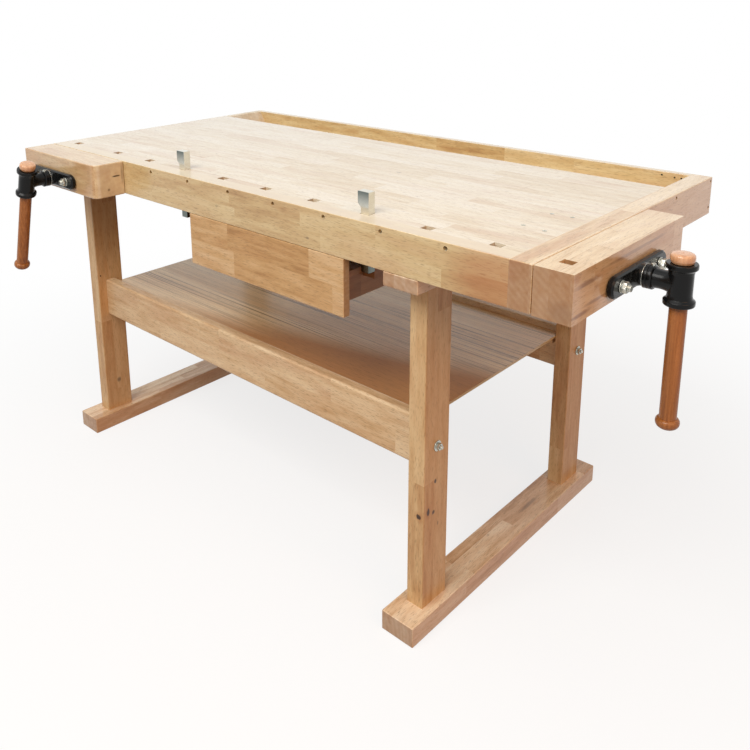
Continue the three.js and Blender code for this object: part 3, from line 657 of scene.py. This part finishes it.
# A slab: the outline carried from low to high along an axis, its rims rounded by a quarter circle of the
# given ease, its two faces closed to the middle; on each rim the normal leans from the outline's to the axis
def slabGrid(outline, low, high, ease, axis="z", steps=4):
    flat, outward = outline
    turn = np.linspace(0, np.pi / 2, steps)
    lift = np.concatenate([low + ease * (1 - np.sin(turn[::-1])), high - ease * (1 - np.sin(turn))])
    inset = np.concatenate([ease * (1 - np.cos(turn[::-1])), ease * (1 - np.cos(turn))])
    tip = np.concatenate([-np.sin(turn[::-1]), np.sin(turn)])
    ring = flat[None] - inset[:, None, None] * outward[None]
    column = ring.shape[:2] + (1,)
    points = np.concatenate([ring, np.broadcast_to(lift[:, None, None], column)], axis=-1)
    normal = np.concatenate([outward[None] * np.sqrt(1 - tip ** 2)[:, None, None],
                             np.broadcast_to(tip[:, None, None], column)], axis=-1)
    middle = np.broadcast_to(flat.mean(axis=0), flat.shape)
    ends = [np.concatenate([middle, np.full((len(flat), 1), z)], axis=1)[None] for z in (low, high)]
    poles = [np.broadcast_to([0.0, 0.0, z], (1, len(flat), 3)) for z in (-1, 1)]
    points = np.concatenate([ends[0], points, ends[1]])
    normal = np.concatenate([poles[0], normal, poles[1]])
    order = {"z": (0, 1, 2), "x": (2, 0, 1)}[axis]
    return points[..., order], normal[..., order]


# The low and the high corner of a node's box
def boxOf(node):
    return (np.array(corner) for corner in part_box(node))


# A board between two corners with eased edges, or with a radius of its own at each upright corner
def easedBoard(name, low, high, ease, radius=None, steps=5):
    plan = roundOutline(rectangle(low, high), ease if radius is None else radius, steps)
    points, normals = slabGrid(plan, low[2], high[2], ease)
    return closedMesh(name, [points], normals=normals)


copying = {
    "weld": 0.01,  # mm between points that are one
    "seam": 1.6,  # eases from each side to the seam round it
    "flat": 0.5,  # degrees
    "sharp": 32,  # degrees
    "bevelled": 40,  # degrees
    "onSide": 0.02,  # mm from a side of the box
}


# All the points of a mesh as rows of three numbers
def pointsOf(mesh):
    points = np.empty(len(mesh.vertices) * 3)
    mesh.vertices.foreach_get("co", points)
    return points.reshape(-1, 3)


# A copy of a node whose shape is already right, with doubles joined, coplanar faces merged and a bevel on the
# edges where two free sides of its box meet; with no glued sides named, every sharp edge is eased
def easedCopy(name, node, ease, glued=None, segments=2, look=copying):
    mesh = frame["nodes"][node].data.copy()
    mesh.materials.clear()
    mesh.name = name
    work = bmesh.new()
    work.from_mesh(mesh)
    bmesh.ops.remove_doubles(work, verts=work.verts, dist=look["weld"] * mm)
    # A seam round each side, clear of the bevel, keeps the edges that cross a face away from its corners
    corners = np.stack(list(boxOf(node)))
    for axis in np.eye(3):
        for level in corners @ axis + np.array([1, -1]) * look["seam"] * ease * mm:
            made = bmesh.ops.bisect_plane(work, geom=work.verts[:] + work.edges[:] + work.faces[:],
                                          plane_co=axis * level, plane_no=axis)
            for edge in made["geom_cut"]:
                if isinstance(edge, bmesh.types.BMEdge):
                    edge.seam = True
    bmesh.ops.dissolve_limit(work, angle_limit=np.radians(look["flat"]), verts=work.verts, edges=work.edges,
                             delimit={"SEAM"})
    work.to_mesh(mesh)
    work.free()
    mesh.shade_smooth()
    mesh.set_sharp_from_angle(angle=np.radians(look["sharp"]))
    piece = inScene(name, mesh)
    bevel = piece.modifiers.new("eased_edges", "BEVEL")
    bevel.width = ease * mm
    bevel.segments = segments
    bevel.harden_normals = True
    bevel.limit_method = "ANGLE"
    bevel.angle_limit = np.radians(look["bevelled"])
    if glued is not None:
        bevel.limit_method = "WEIGHT"
        points = pointsOf(mesh)
        ends = np.empty(len(mesh.edges) * 2, int)
        mesh.edges.foreach_get("vertices", ends)
        limits = (points.min(axis=0), points.max(axis=0))
        on = np.concatenate([np.abs(points - limit) < look["onSide"] * mm for limit in limits], axis=1)
        free = np.array([side not in glued for side in ("-x", "-y", "-z", "+x", "+y", "+z")])
        both = on[ends.reshape(-1, 2)].all(axis=1)
        weight = ((both & free).sum(axis=1) >= 2) & ~(both & ~free).any(axis=1)
        layer = mesh.attributes.new("bevel_weight_edge", "FLOAT", "EDGE")
        layer.data.foreach_set("value", weight.astype(np.float32))
    return piece


# Bench top: boards glued flush, so only the free edges are eased

topBoards = {  # finish, slot, glued sides, and ease in mm
    "work_top": ("topWood", "top_wood", ("-y", "+x"), 1.5),
    "dog_strip": ("topWood", "top_wood", ("-y", "+y", "+x"), 1.5),
    "front_apron": ("apronWood", "frame_wood", ("+y", "+x"), 2.0),
    "end_cap": ("capWood", "frame_wood", ("-x",), 2.0),
    "back_rail": ("apronWood", "frame_wood", ("+x",), 2.0),
    "tray_wall": ("apronWood", "frame_wood", ("+x", "+z"), 1.0),
    "tray_floor": ("topWood", "frame_wood", ("+x", "-y", "+y"), 1.0),
    "tray_ramp": ("topWood", "top_wood", ("-z", "-y", "+y"), 1.0),
}
for node, (look, slot, glued, ease) in topBoards.items():
    settle(easedCopy(node + "_board", node, ease, glued), look, slot, node)
print("bench top made")


# Trestles, stretchers and shelf: eased boards, run a little way into the joints that hide their ends

timber = dict(ease=2.5, stretcherEase=6.0, cleatEase=1.5, shelfEase=0.6, intoJoint=3.0)  # millimetres


# An eased board between two corners in place of one node
def timberBoard(node, low, high, look, slot="frame_wood", ease=timber["ease"]):
    board = easedBoard(node + "_timber", low, high, ease * mm)
    settle(board, look, slot, node)


for side in ("left", "right"):
    for beam in ("foot", "bearer"):
        timberBoard(f"{side}_{beam}", *boxOf(f"{side}_{beam}"), "crossWood")
    for place in ("front", "back"):
        low, high = boxOf(f"{side}_{place}_leg")
        low[2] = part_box(f"{side}_foot")[1].z - timber["intoJoint"] * mm
        high[2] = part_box(f"{side}_bearer")[0].z + timber["intoJoint"] * mm
        timberBoard(f"{side}_{place}_leg", low, high, "legWood")
for place in ("front", "back"):
    low, high = boxOf(f"{place}_stretcher")
    low[0] -= timber["intoJoint"] * mm
    high[0] += timber["intoJoint"] * mm
    timberBoard(f"{place}_stretcher", low, high, "stretcherWood", ease=timber["stretcherEase"])
    cleat = f"{place}_shelf_cleat"
    timberBoard(cleat, *boxOf(cleat), "stretcherWood", ease=timber["cleatEase"])
timberBoard("shelf", *boxOf("shelf"), "plywood", "shelf_plywood", timber["shelfEase"])
print("trestles, stretchers and shelf made")


# Drawer

drawer = dict(frontEase=1.8, backEase=1.0, bottomEase=0.5, sideEase=0.8)  # millimetres
timberBoard("drawer_front", *boxOf("drawer_front"), "drawerWood", ease=drawer["frontEase"])
timberBoard("drawer_back", *boxOf("drawer_back"), "drawerWood", ease=drawer["backEase"])
timberBoard("drawer_bottom", *boxOf("drawer_bottom"), "plywood", "shelf_plywood", drawer["bottomEase"])
for side in ("left", "right"):
    for node in (f"drawer_{side}_side", f"{side}_drawer_hanger"):
        settle(easedCopy(node + "_board", node, drawer["sideEase"]), "sideWood", "frame_wood", node)
print("drawer made")


# Turned, threaded and pressed shapes

# Even angles round a circle
def anglesRound(sides):
    return np.linspace(0, 2 * np.pi, sides, endpoint=False)


# Points measured out along an axis, to its side and up, spread over one grid
def gridOf(out, side, up):
    return np.stack(np.broadcast_arrays(out, side, up), axis=-1)


# Rings about an axis: the side is the radius times the cosine of the angle, the height times its sine
def ringGrid(place, radius, angle):
    return gridOf(place, radius * np.cos(angle), radius * np.sin(angle))


# A profile of radius and place along an axis, turned about that axis in even steps (axis 0 is out, 2 is up)
def turnedGrid(profile, axis=0, sides=48):
    radius, place = np.asarray(profile, float).T[..., None]
    points = ringGrid(place, radius, anglesRound(sides))
    return points[..., {0: (0, 1, 2), 2: (1, 2, 0)}[axis]]


# Rounds a profile: each corner gives way to a parabola between the points an ease away along its two sides,
# or just short of their middles where a side is too short
def softened(profile, ease, closed=False, steps=5, shortest=0.48):
    profile = np.asarray(profile, float)
    corner = profile if closed else profile[1:-1]
    before = (np.roll(profile, 1, axis=0) if closed else profile[:-2]) - corner
    after = (np.roll(profile, -1, axis=0) if closed else profile[2:]) - corner
    ease = np.broadcast_to(ease, len(corner))[:, None]
    reach = [np.linalg.norm(way, axis=1, keepdims=True) for way in (before, after)]
    start = corner + before / reach[0] * np.minimum(ease, shortest * reach[0])
    end = corner + after / reach[1] * np.minimum(ease, shortest * reach[1])
    t = np.linspace(0, 1, steps)[None, :, None]
    curve = (1 - t) ** 2 * start[:, None] + 2 * t * (1 - t) * corner[:, None] + t ** 2 * end[:, None]
    curve = curve.reshape(-1, 2)
    ends = (curve[:0], curve[:1]) if closed else (profile[:1], profile[-1:])
    return np.concatenate([ends[0], curve, ends[1]])


# A disc or a bar: a rectangle of radius and length along the axis, its corners softened, turned about it
def drumGrid(radius, start, end, ease, sides=48):
    return turnedGrid(softened([(0, start), (radius, start), (radius, end), (0, end)], ease), sides=sides)


# Closes a grid of rings with a point on the axis at each end
def tipped(grid, start, end):
    tips = [np.broadcast_to([u, 0.0, 0.0], (1, grid.shape[1], 3)) for u in (start, end)]
    return np.concatenate([tips[0], grid, tips[1]])


nutShape = {
    "rings": np.array([0, 0, 0.03, 0.06, 0.1, 0.5, 0.9, 0.94, 0.97, 1, 1]),  # shares of the height
    "face": 0.97,  # of the width across flats
}


# A hexagon nut: at each angle the radius is the hexagon's own, cut back at both ends by a thirty degree cone
def nutGrid(corner, start, end, sides=72, look=nutShape):
    angle = anglesRound(sides)
    flat = corner * np.cos(np.pi / 6)
    hexagon = flat / np.cos(angle % (np.pi / 3) - np.pi / 6)
    place = start + (end - start) * look["rings"]
    fromEnd = np.minimum(place - start, end - place)
    radius = np.minimum(hexagon[None], look["face"] * flat + fromEnd[:, None] / np.tan(np.pi / 6))
    radius[[0, -1]] = 0
    return ringGrid(place[:, None], radius, angle)


threadShape = {"steep": 1.7, "crest": 0.35}


# A threaded bar: the radius dips by the thread's depth in a wave that moves on by one pitch in each turn
def threadGrid(radius, pitch, depth, start, end, sides=32, perTurn=8, look=threadShape):
    place = np.linspace(start, end, int(round((end - start) / pitch * perTurn)) + 1)
    angle = anglesRound(sides)
    wave = np.abs(2 * ((place[:, None] / pitch - angle / (2 * np.pi)) % 1) - 1)
    groove = np.clip(look["steep"] * wave - look["crest"], 0, 1)
    runOut = np.clip(np.minimum(place - start, end - place) / pitch, 0, 1)[:, None]
    reach = radius - depth * np.clip(groove * runOut + (1 - runOut), 0, 1)
    return tipped(ringGrid(place[:, None], reach, angle), start, end)


headShape = dict(
    inner=0.62, rise=0.18, arm=0.16, depth=0.3, armEnd=0.66, armFade=0.06,  # shares of the head's radius
    armSlope=0.3, rim=-1.5,  # shares of the arm and of the rise
)


# A round screw head with a cross: a low dome over radius and angle, sunk where either arm of the cross passes
def crossHeadGrid(radius, sides=48, look=headShape):
    rise, arm, depth = (look[key] * radius for key in ("rise", "arm", "depth"))
    share = np.concatenate([np.linspace(0, look["inner"], 12), np.linspace(look["armEnd"], 1, 6)])[:, None]
    angle = anglesRound(sides)[None]
    across, down = share * radius * np.cos(angle), share * radius * np.sin(angle)
    nearArm = np.minimum(np.abs(across), np.abs(down))
    ending = np.clip((look["armEnd"] - share) / look["armFade"], 0, 1)
    sunk = np.clip((arm - nearArm) / (look["armSlope"] * arm), 0, 1) * ending
    face = gridOf(rise * (1 - share ** 2) - depth * sunk, across, down)
    low = look["rim"] * rise
    rim = gridOf(low, across[-1:], down[-1:])
    foot = np.broadcast_to([low, 0.0, 0.0], (1, sides, 3))
    return np.concatenate([face, rim, foot])


# Local points, measured out along an axis, to its side and up, carried into the frame
def carried(points, out, side, base=0.0, up=(0, 0, 1)):
    return points @ np.array([out, side, up], float) + base


# Vises

viseKit = {  # swing: degrees of the handle from upright, knob towards the side
    "front": {"out": (0, -1, 0), "side": (1, 0, 0), "swing": 18.0},
    "end": {"out": (1, 0, 0), "side": (0, 1, 0), "swing": 0.0},
}
visePart = dict(  # millimetres
    jawEase=2.5, jawRound=18.0,
    endJawSeam=1.5,  # gap that shows between the end cap and the closed jaw
    plateThickness=12.0, plateEase=3.0,
    bossRadius=19.0, bossSunk=0.6,
    bossInside=0.4,  # how far the boss stays inside the solid's own
    bossFlare=22.0,  # how far the casting spreads along the plate at the foot of the boss
    washerRadius=11.0, washerThickness=2.0, washerEase=0.6, nutCorner=10.4,
    rodRadius=8.0, rodEase=1.2, studRadius=6.0, studPitch=1.75, studDepth=0.9, studSunk=2.0,
    spindleRadius=11.0, spindlePitch=6.0, spindleDepth=2.2,
    collarRadius=21.0, collarEase=0.5, collarBevel=2.0, grooveDepth=0.9, grooveWidth=1.2,
    ringRadius=21.5, ringThickness=0.8, ringEase=0.3,
    setScrewRadius=4.0, setScrewSunk=4.0,
    setScrewSocket=2.0,  # radius and depth
    hubRadius=20.0, hubEase=0.9, hubBore=14.9,
    flangeRadius=25.5, flangeHeight=12.0, flangeBevel=0.8, flangeRise=2.2, flangeFillet=1.0,
    neckRadius=17.3, neckFlare=1.2, neckSunk=1.5,
    neckShort=1.0,  # how far the closed end of the neck stays from the bore
    handleRadius=14.5, lowerKnobHeight=20.0, knobRadius=20.0, knobHeight=17.0,
    bracketEase=1.5,
)
viseShare = dict(  # shares of a length, and powers
    plateRound=0.999, bossPower=2.6, bossRise=1.1, grooveAt=0.4, flangeTop=0.66, flangeFoot=1.5,
    neckWaist=0.05, neckPower=6,
)
handleShape = dict(belly=0.64, domeOut=0.8, domeUp=0.9, bevel=1.0)  # share of the height, powers, and mm
knobShape = dict(
    foot=0.88, belly=0.32, shoulder=(0.97, 2.6), crown=(0.70, 0.6),  # shares, and mm below the top
    dimple=((1.2, 0.0), (0.9, 0.9), (0.0, 1.1)),  # radius and depth in mm
    ease=(1.0, 5.0, 4.6, 3.0),  # mm
)


# The lower knob and its bar: a flat round end that swells to its widest at two thirds of its height, then
# turns in over a quarter ellipse to the bar
def handleProfile(low, high, size, look=handleShape):
    height, wide, bar = size["lowerKnobHeight"], size["knobRadius"], size["handleRadius"]
    belly, bevel = look["belly"] * height, look["bevel"] * mm
    lower = np.pi / 2 * np.linspace(0, 1, 12)
    dome = np.stack([wide * np.sin(lower) ** look["domeOut"],
                     low + belly * (1 - np.cos(lower) ** look["domeUp"])], axis=1)
    upper = np.pi / 2 * np.linspace(0, 1, 8)[1:]
    shoulder = np.stack([bar + (wide - bar) * np.cos(upper),
                         low + belly + (height - belly) * np.sin(upper)], axis=1)
    shaft = [[bar, low + height + bevel], [bar, high - bevel], [bar - bevel, high], [0, high]]
    return np.concatenate([dome, shoulder, shaft])


# The upper knob: a drum that bulges out of a narrow foot, turns over a round shoulder and closes in a low
# dome, where the lathe centre left a small dimple
def knobProfile(low, size, look=knobShape):
    wide, high = size["knobRadius"], low + size["knobHeight"]
    upper = [(share * wide, high - drop * mm) for share, drop in (look["shoulder"], look["crown"])]
    rim, *dimple = ((radius * mm, high - drop * mm) for radius, drop in look["dimple"])
    belly = (wide, low + look["belly"] * (high - low))
    sides = [(0, low), (look["foot"] * wide, low), belly, *upper, rim]
    return np.concatenate([softened(sides, np.array(look["ease"]) * mm, steps=7), dimple])


# The boss: an oval ring that narrows by a power of its height from a wide foot along the plate to a circle
def bossGrid(plateFace, bossEnd, size, rings=14, sides=64):
    t = np.linspace(0, 1, rings)
    angle = anglesRound(sides)
    wide = size["bossRadius"] - size["bossInside"]
    spread = wide + size["bossFlare"] * (1 - t) ** viseShare["bossPower"]
    foot = plateFace - size["bossSunk"]
    rise = np.concatenate([[0], t[1:] ** viseShare["bossRise"]])
    lift = foot + (bossEnd - plateFace + size["bossSunk"]) * rise
    boss = gridOf(lift[:, None], np.outer(spread, np.cos(angle)), wide * np.sin(angle))
    return tipped(boss, lift[0], lift[-1])


# The neck: a slightly waisted tube that flares by a high power of its length, and ends on the barrel's side
def neckGrid(neckStart, hubPlace, size, rings=18, sides=64):
    t = np.linspace(0, 1, rings)[:, None]
    angle = anglesRound(sides)[None]
    waist = 1 - viseShare["neckWaist"] * np.sin(np.pi * t)
    reach = size["neckRadius"] * waist + size["neckFlare"] * t ** viseShare["neckPower"]
    aside, up = reach * np.sin(angle), reach * np.cos(angle)
    landing = hubPlace + size["neckSunk"] - np.sqrt(np.maximum(size["hubRadius"] ** 2 - aside ** 2, 0))
    neck = gridOf(neckStart + (landing - neckStart) * t, aside, up)
    return tipped(neck, neckStart, hubPlace - size["hubBore"] - size["neckShort"])


# One vise: its pieces are made along the screw's axis, then carried to it; those of the handle's end of the
# screw lean with the handle by its swing
def makeVise(name, out, side, swing, look):
    size = {key: value * mm for key, value in look.items()}
    out, side, up = np.array(out, float), np.array(side, float), np.array([0.0, 0.0, 1.0])
    lean = np.radians(swing)
    leaning = {"side": np.cos(lean) * side - np.sin(lean) * up, "up": np.sin(lean) * side + np.cos(lean) * up}
    low, high = boxOf(f"{name}_vise_spindle")
    centre = (low + high) / 2
    base = centre - out * (centre @ out)

    # Where a piece starts and ends along the screw
    def span(piece):
        return sorted(float(corner @ out) for corner in boxOf(f"{name}_vise_{piece}"))

    # Heights of a piece from the screw, taken on the end vise, whose handle hangs straight
    def heights(piece):
        screw = np.mean([corner[2] for corner in boxOf("end_vise_spindle")])
        return [corner[2] - screw for corner in boxOf(f"end_vise_{piece}")]

    def add(piece, grids, finishName, slot, *replaced, body=None, sharpAngle=32, leans=False):
        axes = leaning if leans else {"side": side, "up": up}
        surfaces = [carried(grid, out, axes["side"], base, axes["up"]) for grid in grids]
        thing = closedMesh(f"{name}_vise_{piece}_made", surfaces, sharpAngle)
        settle(thing, finishName, slot, *(f"{name}_vise_{part}" for part in replaced), body=body)

    # Plate: a stadium slab, and a boss whose foot spreads along the plate
    plateStart, bossEnd = span("plate")
    plateFace = plateStart + size["plateThickness"]
    low, high = boxOf(f"{name}_vise_plate")
    half = np.array([float((high - low) @ np.abs(side)), float(high[2] - low[2])]) / 2
    outline = roundOutline(rectangle(-half, half), half[1] * viseShare["plateRound"], steps=20)
    slab, _ = slabGrid(outline, plateStart, plateFace, size["plateEase"], "x", steps=2)
    boss = bossGrid(plateFace, bossEnd, size)
    add("plate", [slab, boss], "castIron", "black_cast_iron", "plate")

    # Guide rods with threaded ends, washers and nuts
    for tag in ("a", "b"):
        low, high = boxOf(f"{name}_vise_nut_{tag}")
        aside = np.array([0.0, ((low + high) / 2 - base) @ side, 0.0])
        nutStart, nutEnd = span(f"nut_{tag}")
        washerEnd = nutStart + size["washerThickness"]
        washer = drumGrid(size["washerRadius"], nutStart, washerEnd, size["washerEase"])
        nut = nutGrid(size["nutCorner"], washerEnd, nutEnd)
        add(f"nut_{tag}", [washer + aside, nut + aside], "zinc", "zinc_steel", f"nut_{tag}",
            sharpAngle=24)
        rodStart, rodEnd = span(f"rod_{tag}")
        rod = drumGrid(size["rodRadius"], rodStart, plateStart, size["rodEase"], sides=40)
        stud = threadGrid(size["studRadius"], size["studPitch"], size["studDepth"],
                          plateStart - size["studSunk"], rodEnd)
        add(f"rod_{tag}", [rod + aside, stud + aside], "zinc", "zinc_steel", f"rod_{tag}",
            sharpAngle=50)

    # Spindle with its square thread
    shape = (size["spindleRadius"], size["spindlePitch"], size["spindleDepth"])
    spindle = threadGrid(*shape, *span("spindle"), sides=36)
    add("spindle", [spindle], "zinc", "zinc_steel", "spindle", sharpAngle=50)

    # Collar with a groove, the bright thrust ring behind it and its set screw
    start, end = span("collar")
    radius, bevel = size["collarRadius"], size["collarBevel"]
    ringEnd = start + size["ringThickness"]
    groove = ringEnd + viseShare["grooveAt"] * (end - ringEnd)
    grooveEnd, grooveFloor = groove + size["grooveWidth"], radius - size["grooveDepth"]
    collar = [(0, ringEnd), (radius, ringEnd), (radius, groove), (grooveFloor, groove),
              (grooveFloor, grooveEnd), (radius, grooveEnd), (radius, end - bevel), (radius - bevel, end),
              (0, end)]
    collar = turnedGrid(softened(collar, size["collarEase"]), sides=64)
    add("collar", [collar], "castIron", "black_cast_iron", "collar", leans=True)
    ring = drumGrid(size["ringRadius"], start, ringEnd, size["ringEase"], sides=64)
    screwBody = f"{name}_screw"
    add("thrust_ring", [ring], "zinc", "zinc_steel", body=screwBody)
    tip = heights("collar")[1]
    wide, socket, foot = size["setScrewRadius"], size["setScrewSocket"], radius - size["setScrewSunk"]
    setScrew = [(0, tip - socket), (socket, tip - socket), (socket, tip), (wide, tip), (wide, foot),
                (0, foot)]
    setScrew = turnedGrid(softened(setScrew, size["collarEase"]), axis=2, sides=24)
    setScrew = setScrew + np.array([(groove + end) / 2, 0.0, 0.0])
    add("set_screw", [setScrew], "zinc", "zinc_steel", body=screwBody, leans=True)

    # Hub: a flanged barrel bored for the handle, and its neck
    bottom, top = heights("hub")
    neckStart, hubEnd = span("hub")
    hubPlace = hubEnd - size["flangeRadius"]
    barrel, bore = size["hubRadius"], size["hubBore"]
    flange, lip = size["flangeRadius"], size["flangeHeight"]
    rim = [(bore, 0), (flange - size["flangeBevel"], 0), (flange, size["flangeRise"]),
           (flange, viseShare["flangeTop"] * lip), (barrel + size["flangeFillet"], lip),
           (barrel, viseShare["flangeFoot"] * lip)]
    tube = [(r, bottom + h) for r, h in rim] + [(r, top - h) for r, h in rim[::-1]]
    tube = softened(tube, size["hubEase"], closed=True)
    hub = turnedGrid(tube, axis=2, sides=64) + np.array([hubPlace, 0.0, 0.0])
    neck = neckGrid(neckStart, hubPlace, size)
    add("hub", [hub, neck], "castIron", "black_cast_iron", "hub", leans=True)

    # Handle and its upper knob
    bar, knob = handleProfile(*heights("handle"), size), knobProfile(heights("knob")[0], size)
    for piece, profile in (("handle", bar), ("knob", knob)):
        grid = turnedGrid(profile, axis=2, sides=56) + np.array([hubPlace, 0.0, 0.0])
        add(piece, [grid], piece + "Wood", piece + "_wood", piece, sharpAngle=60, leans=True)

    bracket = easedCopy(f"{name}_vise_bracket_casting", f"{name}_vise_bracket", look["bracketEase"])
    settle(bracket, "castIron", "black_cast_iron", f"{name}_vise_bracket")


for name, kit in viseKit.items():
    makeVise(name, kit["out"], kit["side"], kit["swing"], visePart)

# Jaws: the front one rounds off at its free front corner; the end one holds a dog hole
low, high = boxOf("front_vise_jaw")
ease = visePart["jawEase"] * mm
radius = np.array([ease, visePart["jawRound"] * mm, ease, ease])
frontBlock = easedBoard("front_vise_jaw_block", low, high, ease, radius, steps=12)
settle(frontBlock, "jawWood", "top_wood", "front_vise_jaw")
endBlock = easedCopy("end_vise_jaw_block", "end_vise_jaw", visePart["jawEase"], segments=3)
points = pointsOf(endBlock.data)
points[points[:, 0] < points[:, 0].min() + copying["onSide"] * mm, 0] += visePart["endJawSeam"] * mm
endBlock.data.vertices.foreach_set("co", points.ravel())
settle(endBlock, "capWood", "top_wood", "end_vise_jaw")
print("vises made")


# Bench dogs and their springs

dogPart = {"ease": 0.8, "springThickness": 0.8, "springSteps": 40}  # millimetres, and a count


# A leaf spring: a thin strip carried down a line that bows to the left by a half sine
def makeSpring(side, look):
    node = f"{side}_dog_spring"
    low, high = boxOf(node)
    thick = look["springThickness"] * mm
    t = np.linspace(0, 1, look["springSteps"])[:, None]
    path = high[0] - thick / 2 - (high[0] - low[0] - thick) * np.sin(np.pi * t)
    offset = thick / 2 * np.array([[-1, 1, 1, -1]])
    breadth = np.array([[low[1], low[1], high[1], high[1]]])
    strip = gridOf(path + offset, breadth, high[2] - (high[2] - low[2]) * t)
    ends = [row.mean(axis=1, keepdims=True).repeat(4, axis=1) for row in (strip[:1], strip[-1:])]
    strip = np.concatenate([ends[0], strip, ends[1]])
    settle(closedMesh(node + "_leaf", [strip]), "zinc", "zinc_steel", node)


for side in ("left", "right"):
    bar = easedCopy(f"{side}_dog_bar", f"{side}_dog", dogPart["ease"])
    settle(bar, "dogSteel", "zinc_steel", f"{side}_dog")
    makeSpring(side, dogPart)
print("bench dogs made")


# Bolts of the trestles: washer, nut and the threaded end that stands out of it

boltPart = dict(  # millimetres
    radius=4.0, pitch=1.25, depth=0.7, stub=4.0,
    washerRadius=11.0, washer=2.0, washerEase=0.5, nutCorner=7.5, nut=7.0,
)


# The bar runs the whole length of the node; nut and washer stand back from its outer end by the stub
def makeBolt(node, out, look):
    size = {key: value * mm for key, value in look.items()}
    low, high = boxOf(node)
    base = (low + high) / 2 * np.array([0, 1, 1])
    start, end = sorted(float(corner[0] * out) for corner in (low, high))
    nutEnd = end - size["stub"]
    nutStart = nutEnd - size["nut"]
    washer = drumGrid(size["washerRadius"], nutStart - size["washer"], nutStart, size["washerEase"])
    nut = nutGrid(size["nutCorner"], nutStart, nutEnd)
    bar = threadGrid(size["radius"], size["pitch"], size["depth"], start, end, sides=24, perTurn=6)
    surfaces = [carried(grid, (out, 0, 0), (0, out, 0), base) for grid in (washer, nut, bar)]
    settle(closedMesh(node + "_set", surfaces, sharpAngle=24), "zinc", "zinc_steel", node)


for place in ("front", "back"):
    makeBolt(f"left_{place}_bolt", -1, boltPart)
    makeBolt(f"right_{place}_bolt", 1, boltPart)
print("bolts made")


# Screws: sunk in the pockets of the apron and the end cap, and flush in the top over the end vise's bracket;
# small black heads in the rail stand in for the dark of small holes, as painted shade

screwSets = {  # board, finish, radius and depth sunk in mm, and places in mm
    "apron_pocket_screws": ("front_apron", "zinc", 3.6, 9.0, [(-123 - 144 * k, -10.5) for k in range(8)]),
    "cap_pocket_screws": ("end_cap", "zinc", 3.0, 9.0, [(-200, -8), (-10, -8), (-10, -68)]),
    "bracket_screws": ("work_top", "zinc", 4.2, -0.3, [(-78, 104), (-32, 98), (-76, 203), (-36, 206)]),
    # Painted shade: small black heads standing in for the dark of small holes in the rail
    "rail_screws": ("back_rail", "castIron", 2.0, -0.3, [(-62, -7.5), (-33, -10), (-18, -10)]),
}
screwFaces = {  # out of the face, to the head's side and up, and along the two places
    "front_apron": ((0, -1, 0), (1, 0, 0), (0, 0, 1), "xz"),
    "back_rail": ((0, -1, 0), (1, 0, 0), (0, 0, 1), "xz"),
    "end_cap": ((1, 0, 0), (0, 1, 0), (0, 0, 1), "yz"),
    "work_top": ((0, 0, 1), (0, -1, 0), (1, 0, 0), "xy"),
}


# Each head sits on the board's outer face; its place is measured back from the board's far end and down from
# its top, or in from its front edge where the face is the top
def makeScrews(name, board, look, radius, sunk, places):
    low, high = boxOf(board)
    out, side, up, ways = screwFaces[board]
    corner = np.array([high[0], high[1] if out[0] else low[1], high[2]])
    steps = np.eye(3)[["xyz".index(way) for way in ways]]
    centres = corner + np.array(places, float) * mm @ steps - np.array(out) * sunk * mm
    head = carried(crossHeadGrid(radius * mm), out, side, up=up)
    heads = closedMesh(name, [head + centre for centre in centres], sharpAngle=40)
    settle(heads, look, "zinc_steel", body="bench")


for name, kit in screwSets.items():
    makeScrews(name, *kit)
print("screws made")
